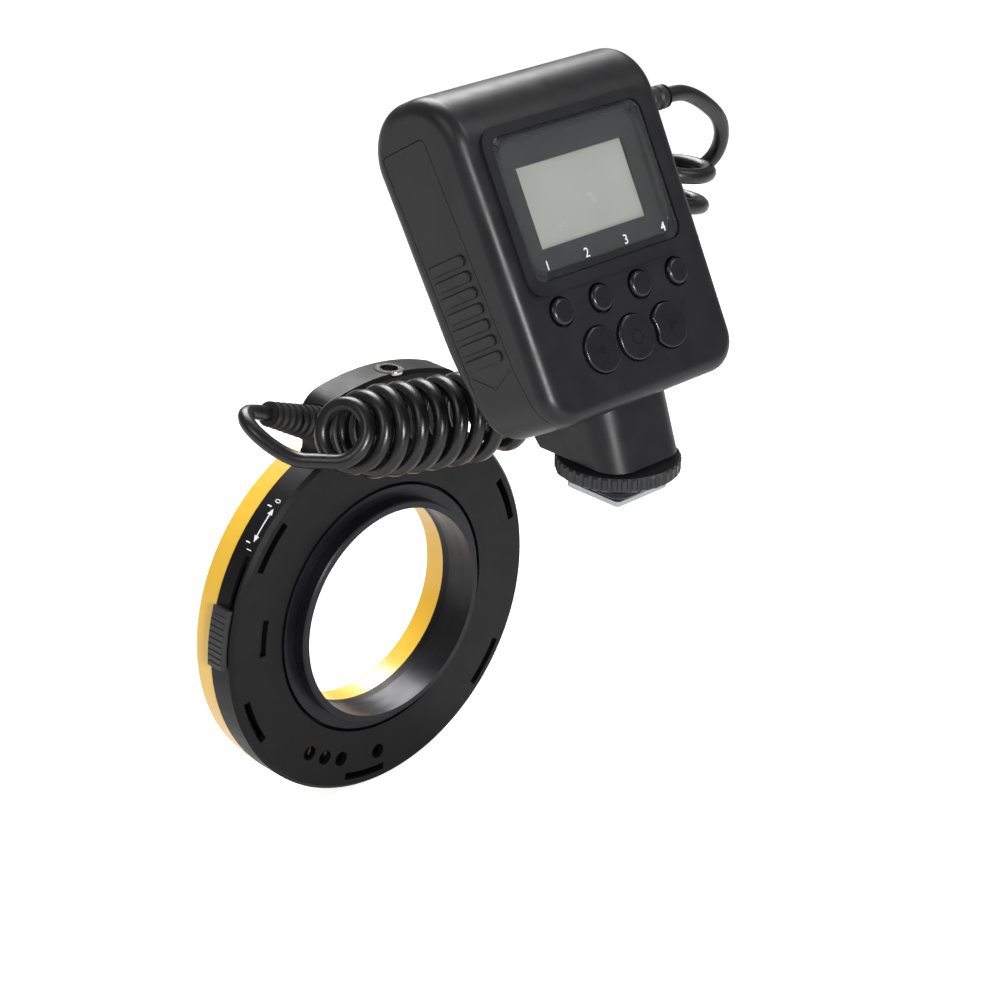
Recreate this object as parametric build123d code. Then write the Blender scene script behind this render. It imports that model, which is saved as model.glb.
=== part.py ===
"""Ring light for close-up work: a control unit on a clamping foot, a curly lead and an annular lamp head.

Millimetres. The origin is the centre of the underside of the foot, X to the right seen from behind,
Y forward towards the subject, Z up.
"""
from build123d import *
import os
from math import atan2, cos, degrees, pi, radians, sin, sqrt, tan

os.makedirs("parts", exist_ok=True)

# Fits and walls
RUN_GAP = 0.15        # clearance round a piece that moves
SEAT_GAP = 0.15       # clearance round a piece that is dropped into a pocket
WALL = 2.2            # moulded walls of the control unit
SCREW_R = 1.0         # self-tapping screws, shank
SCREW_HEAD_R = 1.9
SCREW_HEAD_H = 1.4
SCREW_HOLE_GAP = 0.1

# Foot and clamp
FOOT_W = 18.5
FOOT_L = 18.0
FOOT_T = 2.0
FOOT_CORNER = 1.2
STEM_R = 4.4
STEM_BORE_R = 1.7
CLAMP_Z = 3.6         # underside of the clamp plate, as it grips a rail
CLAMP_T = 1.7
CLAMP_W = 24.0
CLAMP_CORNER = 4.0
WHEEL_R = 16.0
WHEEL_HUB_R = 8.0
WHEEL_HUB_H = 0.35
WHEEL_T = 3.7
WHEEL_FLUTES = 40
WHEEL_FLUTE_R = 0.75
PIN_R = 0.75
PIN_HEAD_R = 1.2
PIN_HEAD_H = 1.6
PIN_TRAVEL = 0.6

# Neck
NECK_Z = 10.3
NECK_HALF_W = 13.3
NECK_BACK_Y = -11.8
NECK_FRONT_Y = 14.5
NECK_LEAN = 19.0      # degrees, the back face leans forward
NECK_NOSE_Y = 19.6
NECK_NOSE_Z = 15.6
NECK_TOP_Z = 34.0
NECK_SEAM_Y = 12.6    # at the base, and it leans like the back
NECK_CORNER = 7.0
NECK_WALL = 2.2
STEM_FLANGE_R = 7.6
STEM_FLANGE_T = 1.6
FOOT_SCREW_PITCH = 11.6

# Control unit, in its own frame: x to the right, y up along the screen, z out of the screen
TILT = 27.97          # degrees, the top leans forward
FACE_SHIFT = 23.67    # the screen lies this far behind the foot's centre, across the tilt
UNIT_BOTTOM = 20.0
UNIT_TOP = 106.5
UNIT_DEPTH = 33.0
UNIT_HALF_W = 33.6    # at the bottom
UNIT_TAPER = 0.87     # degrees, each side
UNIT_TOP_R = 14.5
UNIT_CORNER_R = 9.0
UNIT_EDGE_R = 4.0
UNIT_BELLY_Y = 50.0   # where the front starts to curve in
UNIT_BELLY_N = 31.2
UNIT_TOE_Y = 12.0
UNIT_TOE_N = 19.0
UNIT_SEAM_N = 6.6

# Window and screen
BEZEL_HALF_W = 28.7
BEZEL_LOW = 51.7
BEZEL_HIGH = 93.9
BEZEL_RISE = 1.0
BEZEL_R = 5.0
LENS_HALF_W = 25.6
LENS_LOW = 55.0
LENS_HIGH = 91.3
LENS_R = 3.6
LENS_T = 1.3
LEDGE = 2.0
LCD_HALF_W = 18.9
LCD_LOW = 62.0
LCD_HIGH = 83.4
LCD_T = 1.8
BOARD_N = 7.0
BOARD_T = 1.6
BOARD_HALF_W = 27.0
BOARD_LOW = 24.2
BOARD_HIGH = 97.5
BOSS_R = 2.9
BOSS_X = 22.0
BOSS_LOW = 27.2
BOSS_HIGH = 94.6

# Keys
KEY_GAP = 0.3
KEY_TRAVEL = 0.8
KEY_FLANGE_T = 0.9
KEY_FLANGE = 0.2      # wider than the hole
BUTTON_R = 3.4
BUTTON_GAP = 0.5
BUTTON_Y = 47.0
BUTTON_XS = (-20.4, -6.9, 6.9, 20.4)
BUTTON_RISE = 1.2
SET_R = 5.8
SET_Y = 35.1
SET_RISE = 1.0
SIDE_KEY_X = 11.9
SIDE_KEY_R = 5.8
SIDE_KEY_BITE = 7.4   # radius about the middle key that cuts the side keys
SIDE_KEY_CORNER = 0.6
SWITCH_W = 5.0
SWITCH_PLUNGER_R = 1.5

# Batteries
CELL_R = 7.1
CELL_L = 49.0
CELL_N = 19.3
CELL_LOW = 38.4
CELL_PITCH = 14.7
CELL_COUNT = 4
CELL_END_X = -28.4
CELL_NUB_R = 2.6
CELL_NUB_L = 1.0
CONTACT_T = 0.5
TRAY_END = 2.0
TRAY_EDGE = 1.2
DOOR_WALL = 1.8
DOOR_TOP = 96.8
DOOR_GAP = 0.2
DOOR_BACK_TOP_N = 11.5
DOOR_SLANT = 3.37     # degrees, the door's edges and its travel lean to the screen
DOOR_W = 17.0
DOOR_FLARE_Y = 37.0
DOOR_FLARE_N = 3.4
DOOR_REACH = 6.0      # how far the door reaches in round the bottom corner
DOOR_RIBS = 7
DOOR_RIB_TOP = 66.6
DOOR_RIB_PITCH = 4.1
DOOR_RIB_L = 14.2
DOOR_RIB_W = 2.9
DOOR_RIB_RISE = 0.7

# Lead's relief on the unit
RELIEF_Y = 90.0
RELIEF_N = 9.0
RELIEF_OUT = 10.0
RELIEF_R = 3.7
RELIEF_TIP_R = 3.1
RELIEF_FLANGE_R = 5.0
RELIEF_RIBS = 3
CORD_R = 2.1

UNIT = Plane(
    origin=(0, -FACE_SHIFT * cos(radians(TILT)), FACE_SHIFT * sin(radians(TILT))),
    x_dir=(1, 0, 0),
    z_dir=(0, -cos(radians(TILT)), sin(radians(TILT))),
)

# Lamp head, in its own frame: z forward from its back face, angles from the left seen from behind
RING_BACK_Y = 88.7
RING_Z = -68.6
RING_R = 55.8
RING_WALL = 2.0
RING_BODY = 8.7       # depth of the dark body, behind the diffuser
RING_SEAM = 3.8
RING_RIM = 1.1        # chamfer round the back
RECESS_R = 37.9
BORE_R = 31.4
FLOOR_Z = 5.0         # inner floor that carries the lamps' board
FLOOR_T = 1.6
STEP_R = 39.0         # the floor steps forward inside this radius
STEP_Z = 6.0
TUBE_WALL = 1.6

# Bayonet: adapter ring, lock ring, pawls and lever
ADAPTER_R = 36.9
ADAPTER_GROOVE_R = 35.2
ADAPTER_BACK = 0.0
ADAPTER_LIP = 0.95
THREAD_R = 33.5
THREAD_L = 4.2
LOCK_T = 1.5
LOCK_IN_R = 39.9
LOCK_OUT_R = 44.0
LOCK_TURN = 17.5      # degrees
PAWL_ANGLES = (30, 150, 270)
PAWL_W = 6.0
PAWL_T = 1.45
PAWL_TIP_R = 35.6
PAWL_END_R = 43.4
PAWL_STROKE = 1.4
PAWL_PIN_R = 0.75
CAM_R = 41.3
CAM_HALF_W = 0.85
LEVER_FROM = 0.5      # degrees
LEVER_TO = 18.0
ARM_FROM = 3.0
ARM_TO = 15.5
LEVER_GAP = 0.2
LEVER_T = 1.8
LEVER_LOW = 1.6
LEVER_HIGH = 8.1
LEVER_GROOVES = 9

# Openings in the back face
VENT_R = 52.0
VENT_W = 2.2
VENT_SPAN = 16.6      # degrees
VENT_ANGLES = (-21, 39, 159, 219, 279)
SIGHT_R = 44.6
SIGHT_FROM = 1.0
SIGHT_TO = 15.0
HOLE_R = 2.2
HOLE_RING_R = 46.3
HOLE_ANGLES = (-51.8, -60.2, -68.6, -86.6)
THROUGH_ANGLES = (-60.2, -68.6)

# Lamps and diffuser
RING_SCREW_R = 46.5
RING_SCREW_ANGLES = (55, 110, 170, 225, 330)
LED_BOARD_IN_R = 39.2
LED_BOARD_OUT_R = 51.8
LED_BOARD_T = 1.2
LED_COUNT = 24        # in each of two circles
LED_RINGS = (41.6, 49.9)
LED_W = 2.8
LED_T = 1.1
REFLECTOR_T = 0.6
REFLECTOR_LIP = 3.2
AMBER_BACK_R = 55.6
AMBER_FRONT_R = 55.3
AMBER_FRONT = 16.3
AMBER_WALL = 1.7
AMBER_EDGE = 1.2
CLIP_ANGLES = (45, 135, 225, 315)
CLIP_SPAN = 10.0      # degrees
CLIP_DEPTH = 1.6

# Lobe on top, with the tripod thread and the lead's relief
LOBE_R = 70.8
LOBE_ANGLE = 95.0
LOBE_HALF = 25.0      # degrees
LOBE_END_R = 9.0
LOBE_ROOT_R = 4.0
LOBE_FRONT = 11.3
INSERT_ANGLE = 95.4
INSERT_Z = 4.3
INSERT_BORE_R = 2.6
INSERT_R = 3.6
INSERT_FLANGE_R = 4.15
INSERT_FLANGE_T = 0.9
INSERT_L = 8.8
INSERT_BOSS_R = 6.0
BOOT_ROOT = (18.8, 61.3, 3.8)
BOOT_TIP = (38.0, 70.7, 3.0)
BOOT_ROOT_R = 5.3
BOOT_TIP_R = 3.4
BOOT_RIBS = 9
FERRULE_SIZE = (2.4, 1.5, 2.0)
FERRULE_ALONG = 0.5
FERRULE_OFF = 6.3

# Curly lead: a straight tail at each end and the coil between them
COIL_R = 10.4         # from the coil's axis to the middle of the cord
COIL_START_R = 7.2    # the first loop is pulled tighter
COIL_GROWTH = 2.2     # turns until the full radius
COIL_LEAN = (0.906, 0.202, -0.373)    # the first turns face this way, not along the axis
COIL_LEAN_HOLD = 4.5  # turns
COIL_LEAN_FADE = 7.0  # turns until they stand square on the axis
COIL_TURNS = (6.0, 11.75)
COIL_PHASE = 180.0    # degrees, the first loop starts underneath
COIL_STEPS = 24       # points a turn
COIL_AXIS = (
    (-34, 69.5, 4.5), (-26, 67, 1.5), (-13, 60.5, 0), (0, 54, -2),
    (20, 44, -5), (52, 41, 20), (53, 33, 62),
)
RING_LEAD_ROUTE = ((-46.2, 90.9, 5.3), (-49.5, 86.6, 4.6), (-47.4, 82.0, 1.6), (-43.6, 80.2, -0.8))
UNIT_LEAD_ROUTE = ((53.2, 29.4, 85.6), (61, 30, 81), (69, 31, 74), (73.6, 33, 67.6), (70.8, 36.8, 62.6))
LEAD_START = 3.4
LEAD_END = 5.0

RING = Plane(origin=(0, RING_BACK_Y, RING_Z), x_dir=(-1, 0, 0), z_dir=(0, 1, 0))


def place(shape, plane):
    """Move a shape from a sub-assembly's own frame into the object's frame."""
    return plane.location * shape


def cyl(radius, low, high, x=0.0, y=0.0):
    """An upright cylinder between two heights."""
    return Pos(x, y, (low + high) / 2) * Cylinder(radius, high - low)


def box(x0, x1, y0, y1, z0, z1):
    """A box between limits."""
    return Pos((x0 + x1) / 2, (y0 + y1) / 2, (z0 + z1) / 2) * Box(x1 - x0, y1 - y0, z1 - z0)


def rounded_block(half_w, low, high, radius, z0, z1):
    """A block with rounded upright edges, centred on x = 0."""
    outline = Pos(0, (low + high) / 2) * RectangleRounded(2 * half_w, high - low, radius)
    return extrude(Pos(0, 0, z0) * outline, amount=z1 - z0)


# Foot and clamp


def shoe_foot():
    plate = box(-FOOT_W / 2, FOOT_W / 2, -FOOT_L / 2, FOOT_L / 2, 0, FOOT_T)
    plate = fillet(plate.edges().filter_by(Axis.Z), FOOT_CORNER)
    plate = chamfer(plate.faces().sort_by(Axis.Y)[-1].edges().filter_by(Axis.X), FOOT_T * 0.2)
    return plate - cyl(STEM_BORE_R, -1, FOOT_T + 1)


def threaded_stem():
    flange_z = NECK_Z + NECK_WALL
    stem = cyl(STEM_R, FOOT_T, flange_z) + cyl(STEM_FLANGE_R, flange_z, flange_z + STEM_FLANGE_T)
    stem -= cyl(STEM_BORE_R, FOOT_T - 1, flange_z + STEM_FLANGE_T + 1)
    for side in (-1, 1):
        hole = cyl(SCREW_R + SCREW_HOLE_GAP, flange_z - 1, flange_z + STEM_FLANGE_T + 1, side * FOOT_SCREW_PITCH / 2)
        stem -= hole
    return stem


def contact_sleeve():
    """Insulator between the stem and the contact pin, wide at the bottom for the pin's head."""
    top = NECK_Z + NECK_WALL + STEM_FLANGE_T
    sleeve = cyl(STEM_BORE_R, 0, top)
    sleeve -= cyl(PIN_HEAD_R + 0.05, -1, PIN_HEAD_H + PIN_TRAVEL)
    return sleeve - cyl(PIN_R + 0.05, 0, top + 1)


def contact_pin():
    top = NECK_Z + NECK_WALL + STEM_FLANGE_T
    pin = cyl(PIN_HEAD_R, 0, PIN_HEAD_H) + cyl(PIN_R, PIN_HEAD_H, top) + cyl(PIN_HEAD_R, top, top + 0.8)
    return fillet(pin.edges().sort_by(Axis.Z)[0], 0.3)


def clamp_plate():
    outline = RectangleRounded(CLAMP_W, CLAMP_W, CLAMP_CORNER)
    plate = extrude(Pos(0, 0, CLAMP_Z) * outline, amount=CLAMP_T)
    plate = chamfer(plate.faces().sort_by(Axis.Z)[0].outer_wire().edges(), 0.4)
    return plate - cyl(STEM_R + RUN_GAP, CLAMP_Z - 1, CLAMP_Z + CLAMP_T + 1)


def lock_wheel():
    low = CLAMP_Z + CLAMP_T
    rim_low = low + WHEEL_HUB_H
    wheel = cyl(WHEEL_R, rim_low, rim_low + WHEEL_T)
    wheel = chamfer(wheel.edges().filter_by(GeomType.CIRCLE), 0.5)
    flute = cyl(WHEEL_FLUTE_R, rim_low - 1, rim_low + WHEEL_T + 1, WHEEL_R + WHEEL_FLUTE_R * 0.35)
    wheel -= [Rot(0, 0, 360 * i / WHEEL_FLUTES) * flute for i in range(WHEEL_FLUTES)]
    wheel += cyl(WHEEL_HUB_R, low, rim_low + 1)
    return wheel - cyl(STEM_R + RUN_GAP, low - 1, rim_low + WHEEL_T + 1)


# Neck


def neck_side(inset):
    """The neck's outline from the side, (y, z), with a sloped back and a rounded nose."""
    lean = tan(radians(NECK_LEAN))
    low = NECK_Z + inset
    back = NECK_BACK_Y + inset / cos(radians(NECK_LEAN))
    nose = NECK_NOSE_Y - inset
    points = [
        (back + inset * lean, low),
        (NECK_FRONT_Y - inset * 0.5, low),
        (nose, NECK_NOSE_Z),
        (nose - 1.2, NECK_TOP_Z - 4.0),
        (back + (NECK_TOP_Z - NECK_Z) * lean, NECK_TOP_Z),
    ]
    return make_face(Polyline(*[(0, y, z) for y, z in points], close=True))


def neck_block(inset):
    """The neck's whole form before it meets the unit."""
    half = NECK_HALF_W - inset
    block = extrude(neck_side(inset), amount=half, dir=(1, 0, 0), both=True)
    upright = [e for e in block.edges() if abs(e.tangent_at(0.5).X) < 0.1 and e.center().Y < 0]
    block = fillet([e for e in upright if e.length > 8 and abs(e.tangent_at(0.5).Z) > 0.5], NECK_CORNER - inset)
    nose = [e for e in block.edges() if abs(e.tangent_at(0.5).X) < 0.1 and e.center().Y > NECK_NOSE_Y - 4
            and abs(e.tangent_at(0.5).Z) > 0.4 and e.center().Z > NECK_NOSE_Z]
    return fillet(nose, NECK_CORNER * 0.6 - inset * 0.5)


def neck_split():
    """Everything in front of the leaning seam between the neck's two shells."""
    lean = tan(radians(NECK_LEAN))
    low = NECK_Z - 5
    high = NECK_TOP_Z + 5
    seam = [(NECK_SEAM_Y + (z - NECK_Z) * lean * 0.5, z) for z in (low, high)]
    points = [seam[0], (60, low), (60, high), seam[1]]
    face = make_face(Polyline(*[(0, y, z) for y, z in points], close=True))
    return extrude(face, amount=60, dir=(1, 0, 0), both=True)


def neck_shells():
    neck = neck_block(0) - neck_block(NECK_WALL) - place(unit_form(0), UNIT)
    neck -= cyl(STEM_R + SCREW_HOLE_GAP, NECK_Z - 1, NECK_Z + NECK_WALL + 1)
    for side in (-1, 1):
        neck -= cyl(SCREW_R, NECK_Z + 0.6, NECK_Z + NECK_WALL + 1, side * FOOT_SCREW_PITCH / 2)
    front = neck_split()
    return neck - front, neck & front


def foot_screws():
    head = NECK_Z + NECK_WALL + STEM_FLANGE_T
    screws = []
    for side in (-1, 1):
        x = side * FOOT_SCREW_PITCH / 2
        screws.append(cyl(SCREW_R, NECK_Z + 0.8, head, x) + cyl(SCREW_HEAD_R, head, head + SCREW_HEAD_H, x))
    return screws


# Control unit: housing


def unit_side(inset):
    """The unit's outline from the side, as a face in the plane x = 0."""
    centre = UNIT_TOP - UNIT_TOP_R
    radius = UNIT_TOP_R - inset
    back = -inset
    front = inset - UNIT_DEPTH
    belly = (0, UNIT_BELLY_Y, inset - UNIT_BELLY_N)
    toe = (0, UNIT_TOE_Y, inset - UNIT_TOE_N)
    back_line = Line((0, UNIT_TOE_Y, back), (0, centre, back))
    back_arc = TangentArc((0, centre, back), (0, centre + radius, back - radius), tangent=(0, 1, 0))
    top_line = Line(back_arc @ 1, (0, centre + radius, front + radius))
    front_arc = TangentArc(top_line @ 1, (0, centre, front), tangent=(0, 0, -1))
    front_line = Line(front_arc @ 1, belly)
    belly_arc = TangentArc(belly, toe, tangent=front_line % 1)
    toe_line = Line(toe, (0, UNIT_TOE_Y, back))
    return make_face([back_line, back_arc, top_line, front_arc, front_line, belly_arc, toe_line])


def unit_form(inset):
    """The unit's rounded form, drawn in by an inset."""
    slope = tan(radians(UNIT_TAPER))
    low = UNIT_BOTTOM + inset
    high = UNIT_TOP + 6
    half_low = UNIT_HALF_W - inset + inset * slope
    half_high = half_low + (high - low) * slope
    outline = make_face(Polyline((-half_low, low), (half_low, low), (half_high, high), (-half_high, high), close=True))
    outline = fillet(outline.vertices().group_by(Axis.Y)[0], UNIT_CORNER_R - inset)
    block = extrude(Pos(0, 0, 2) * outline, amount=-UNIT_DEPTH - 4)
    form = block & extrude(unit_side(inset), amount=half_high + 2, dir=(1, 0, 0), both=True)
    rim = []
    for edge in form.edges():
        along = edge.tangent_at(0.5)
        corner_line = abs(along.Z) > 0.99 and edge.geom_type == GeomType.LINE
        side_line = abs(along.X) > 0.99 and edge.center().Y > low + 1
        if not corner_line and not side_line:
            rim.append(edge)
    return fillet(rim, UNIT_EDGE_R - inset)


def door_frame():
    """Frame of the battery door: x up along its travel, y from its back edge to the front, z outwards."""
    taper = radians(UNIT_TAPER)
    slant = radians(DOOR_SLANT)
    back_n = DOOR_BACK_TOP_N - (DOOR_TOP - UNIT_BOTTOM) * tan(slant)
    return Plane(
        origin=(-UNIT_HALF_W, UNIT_BOTTOM, -back_n),
        x_dir=(-sin(taper) * cos(slant), cos(taper) * cos(slant), -sin(slant)),
        z_dir=(-cos(taper), -sin(taper), 0),
    )


def door_prism(gap):
    """The door's outline, cut deep into the unit's side and round its bottom corner."""
    length = (DOOR_TOP - UNIT_BOTTOM) / cos(radians(DOOR_SLANT))
    back_n = DOOR_BACK_TOP_N - (DOOR_TOP - UNIT_BOTTOM) * tan(radians(DOOR_SLANT))
    flare = DOOR_FLARE_N - back_n
    points = [
        (length - gap, gap),
        (DOOR_FLARE_Y - UNIT_BOTTOM, gap),
        (-4, flare + gap),
        (-4, DOOR_W - gap),
        (length - gap, DOOR_W - gap),
    ]
    outline = make_face(Polyline(*points, close=True))
    outline = fillet(outline.vertices().group_by(Axis.X)[-1], 1.6 - gap)
    prism = extrude(Pos(0, 0, 4) * outline, amount=-4 - DOOR_REACH)
    return place(prism, door_frame())


def door_rails(gap, low):
    """Two rails inside the door that run behind the shells' edges, from a height upwards."""
    length = (DOOR_TOP - UNIT_BOTTOM) / cos(radians(DOOR_SLANT))
    high = length - 5 + gap
    inner = -WALL - 1.3 - gap
    outer = -WALL - 0.1 + gap
    rails = []
    for edge, way in ((0, -1), (DOOR_W, 1)):
        near = edge - way * 2.4
        tip = edge + way * (1.2 + gap)
        rails.append(box(low, high, min(near, tip), max(near, tip), inner, outer))
        foot = edge - way * (DOOR_GAP + 0.2)
        if gap == 0:
            rails.append(box(low, high, min(near, foot), max(near, foot), inner, 0.3 - DOOR_WALL))
    return [place(rail, door_frame()) for rail in rails]


def unit_walls():
    """The unit's closed skin with its door opening and the hole for the lead."""
    skin = unit_form(0) - unit_form(WALL)
    skin -= door_prism(0)
    skin -= door_rails(RUN_GAP, -6)
    hole = Pos(UNIT_HALF_W, RELIEF_Y, -RELIEF_N) * Rot(0, 90, 0) * Cylinder(RELIEF_TIP_R + 0.1, 20)
    return skin - hole


def window_pocket(z0, z1, inset):
    return rounded_block(LENS_HALF_W - inset, LENS_LOW + inset, LENS_HIGH - inset, LENS_R, z0, z1)


def side_key_block(sign, grow, z0, z1):
    """A disc bitten by a circle round the middle key, as a block with rounded corners."""
    disc = cyl(SIDE_KEY_R + grow, z0, z1, sign * SIDE_KEY_X, SET_Y)
    bitten = disc - cyl(SIDE_KEY_BITE - grow, z0 - 1, z1 + 1, 0, SET_Y)
    corners = [e for e in bitten.edges().filter_by(Axis.Z) if abs(e.center().Y - SET_Y) > SIDE_KEY_CORNER]
    return fillet(corners, SIDE_KEY_CORNER)


def key_holes():
    low = -WALL - 1
    holes = [cyl(BUTTON_R + BUTTON_GAP, low, 1, x, BUTTON_Y) for x in BUTTON_XS]
    holes.append(cyl(SET_R + KEY_GAP, low, 1, 0, SET_Y))
    return holes + [side_key_block(sign, KEY_GAP, low, 1) for sign in (-1, 1)]


def boss_spots():
    return [(x, y) for x in (-BOSS_X, BOSS_X) for y in (BOSS_LOW, BOSS_HIGH)]


def unit_shells():
    """Back shell with the bezel, key holes and bosses, and the front shell."""
    skin = unit_walls()
    back_side = box(-60, 60, 0, 130, -UNIT_SEAM_N, 10)
    rear = skin & back_side
    rear += rounded_block(BEZEL_HALF_W, BEZEL_LOW, BEZEL_HIGH, BEZEL_R, -WALL / 2, BEZEL_RISE)
    rear -= window_pocket(BEZEL_RISE - 0.5 - LENS_T, 3, -SEAT_GAP)
    rear -= window_pocket(-WALL - 1, 1, LEDGE)
    rear -= key_holes()
    for x, y in boss_spots():
        boss = cyl(BOSS_R, -BOARD_N, -WALL * 0.6, x, y)
        rear += boss & unit_form(WALL / 2)
        rear -= cyl(SCREW_R, -BOARD_N - 1, -WALL, x, y)
    return rear, skin - back_side


def battery_door():
    door = (unit_form(0) - unit_form(DOOR_WALL)) & door_prism(DOOR_GAP)
    door += door_rails(0, 16)
    for i in range(DOOR_RIBS):
        up = DOOR_RIB_TOP - UNIT_BOTTOM - i * DOOR_RIB_PITCH
        rib = Pos(up, DOOR_W / 2 + 0.6, -1) * Rot(0, 0, 90) * SlotOverall(DOOR_RIB_L, DOOR_RIB_W)
        rib = extrude(rib, amount=1 + DOOR_RIB_RISE)
        door += place(chamfer(rib.faces().sort_by(Axis.Z)[-1].edges(), 0.3), door_frame())
    return door


# Control unit: screen, keys and board


def window_lens():
    top = BEZEL_RISE - 0.5
    lens = window_pocket(top - LENS_T, top, 0)
    return chamfer(lens.faces().sort_by(Axis.Z)[-1].edges(), 0.2)


def lcd_frame():
    frame = window_pocket(-BOARD_N, -WALL, LEDGE - 0.8)
    lip = 0.8
    frame -= box(-LCD_HALF_W - 0.1, LCD_HALF_W + 0.1, LCD_LOW - 0.1, LCD_HIGH + 0.1, -BOARD_N - 1, -WALL - lip)
    inner = LCD_HALF_W - 0.5
    return frame - box(-inner, inner, LCD_LOW + 0.5, LCD_HIGH - 0.5, -WALL - lip - 1, -WALL + 1)


def lcd_panel():
    top = -WALL - 0.8
    return box(-LCD_HALF_W, LCD_HALF_W, LCD_LOW, LCD_HIGH, top - LCD_T, top)


def main_board():
    outline = RectangleRounded(2 * BOARD_HALF_W, BOARD_HIGH - BOARD_LOW, 4)
    board = extrude(Pos(0, (BOARD_LOW + BOARD_HIGH) / 2, -BOARD_N - BOARD_T) * outline, amount=BOARD_T)
    return board - [cyl(SCREW_R + SCREW_HOLE_GAP, -BOARD_N - BOARD_T - 1, 0, x, y) for x, y in boss_spots()]


def unit_screws():
    head = -BOARD_N - BOARD_T
    screws = []
    for x, y in boss_spots():
        screws.append(cyl(SCREW_R, head, -WALL - 0.5, x, y) + cyl(SCREW_HEAD_R, head - SCREW_HEAD_H, head, x, y))
    return screws


def key_spots():
    side = SIDE_KEY_X + 1.2
    return [(x, BUTTON_Y) for x in BUTTON_XS] + [(0, SET_Y), (-side, SET_Y), (side, SET_Y)]


def tact_switches():
    """One switch on the board under each key, its plunger where a pressed key ends."""
    plunger = -WALL - KEY_FLANGE_T - KEY_TRAVEL
    switches = []
    for x, y in key_spots():
        base = box(x - SWITCH_W / 2, x + SWITCH_W / 2, y - SWITCH_W / 2, y + SWITCH_W / 2, -BOARD_N, plunger - 0.7)
        switches.append(base + cyl(SWITCH_PLUNGER_R, plunger - 1, plunger, x, y))
    return switches


def key_cap(cap, flange, rounding):
    """A key that comes up through the shell, joined to a flange against the shell's inner face."""
    return fillet(cap.faces().sort_by(Axis.Z)[-1].edges(), rounding) + flange


def round_key(x, y, radius, gap, rise, rounding):
    cap = cyl(radius, -WALL - 0.2, rise, x, y)
    flange = cyl(radius + gap + KEY_FLANGE, -WALL - KEY_FLANGE_T, -WALL, x, y)
    return key_cap(cap, flange, rounding)


def side_key(sign):
    cap = side_key_block(sign, 0, -WALL - 0.2, SET_RISE)
    flange = side_key_block(sign, KEY_GAP * 1.5, -WALL - KEY_FLANGE_T, -WALL)
    return key_cap(cap, flange, 0.5)


# Control unit: batteries


def cell_heights():
    return [CELL_LOW + i * CELL_PITCH for i in range(CELL_COUNT)]


def battery_cells():
    cells = []
    for y in cell_heights():
        cell = extrude(Circle(CELL_R), amount=CELL_L)
        cell = chamfer(cell.edges().filter_by(GeomType.CIRCLE), 0.5)
        cell += extrude(Pos(0, 0, CELL_L - 1) * Circle(CELL_NUB_R), amount=1 + CELL_NUB_L)
        cells.append(Pos(CELL_END_X, y, -CELL_N) * Rot(0, 90, 0) * cell)
    return cells


def battery_tray():
    """Cradle on the board with a trough under each cell and a wall behind their contacts."""
    low = cell_heights()[0] - CELL_R - TRAY_EDGE
    high = cell_heights()[-1] + CELL_R + TRAY_EDGE
    base = -BOARD_N - BOARD_T
    wall_x = CELL_END_X + CELL_L + CELL_NUB_L + CONTACT_T
    tray = box(CELL_END_X, wall_x + TRAY_END, low, high, -CELL_N, base)
    tray += box(wall_x, wall_x + TRAY_END, low, high, -CELL_N - CELL_R * 0.8, base)
    trough = CELL_R + 0.05
    for y in cell_heights():
        cut = Pos((CELL_END_X - 1 + wall_x) / 2, y, -CELL_N - 0.05) * Rot(0, 90, 0)
        tray -= cut * Cylinder(trough, wall_x - CELL_END_X + 1)
    return tray


def battery_contacts():
    wall_x = CELL_END_X + CELL_L + CELL_NUB_L
    return [box(wall_x, wall_x + CONTACT_T, y - 4, y + 4, -CELL_N - 4, -CELL_N + 4) for y in cell_heights()]


def door_contacts():
    """Two sprung plates on the door's inner face, each joining two cells."""
    plates = []
    heights = cell_heights()
    for low, high in (heights[0:2], heights[2:4]):
        x0 = low - UNIT_BOTTOM - 4
        x1 = high - UNIT_BOTTOM + 4
        plate = box(x0, x1, 4.5, 12.5, -DOOR_WALL - CONTACT_T, -DOOR_WALL)
        for y in (low, high):
            plate += cyl(2.2, -DOOR_WALL - CONTACT_T - 0.6, -DOOR_WALL - CONTACT_T, y - UNIT_BOTTOM, 8.5)
        plates.append(place(plate, door_frame()))
    return plates


def ribbed_relief(length, root_r, tip_r, ribs, z0=0.0):
    """A tapering relief along +z with rings round it, as a profile turned about its axis."""
    points = [(0, z0), (root_r, z0)]
    pitch = (length - z0) / ribs
    for i in range(ribs):
        low = z0 + i * pitch
        r0 = root_r + (tip_r - root_r) * (i + 0.5) / ribs
        points += [(r0, low + pitch * 0.15), (r0, low + pitch * 0.65), (r0 - 0.7, low + pitch * 0.72)]
        points.append((r0 - 0.7, low + pitch * 0.98))
    points += [(tip_r, length), (0, length)]
    profile = make_face(Polyline(*[(x, 0, z) for x, z in points], close=True))
    return revolve(profile, Axis.Z, 360)


def unit_relief_start():
    return UNIT_HALF_W + (RELIEF_Y - UNIT_BOTTOM) * tan(radians(UNIT_TAPER))


def unit_strain_relief():
    start = unit_relief_start()
    relief = ribbed_relief(RELIEF_OUT, RELIEF_R, RELIEF_TIP_R, RELIEF_RIBS, 0.1)
    relief += cyl(RELIEF_TIP_R, -WALL - 0.2, 0.2)
    relief += cyl(RELIEF_FLANGE_R, -WALL - 1.2, -WALL - 0.1)
    return Pos(start, RELIEF_Y, -RELIEF_N) * Rot(0, 90, 0) * relief


# Lamp head: body


def polar(radius, angle, z=0.0):
    return (radius * cos(radians(angle)), radius * sin(radians(angle)), z)


def turned(points):
    """A ring turned about z from (radius, z) points."""
    return revolve(make_face(Polyline(*[(r, 0, z) for r, z in points], close=True)), Axis.Z, 360)


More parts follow.
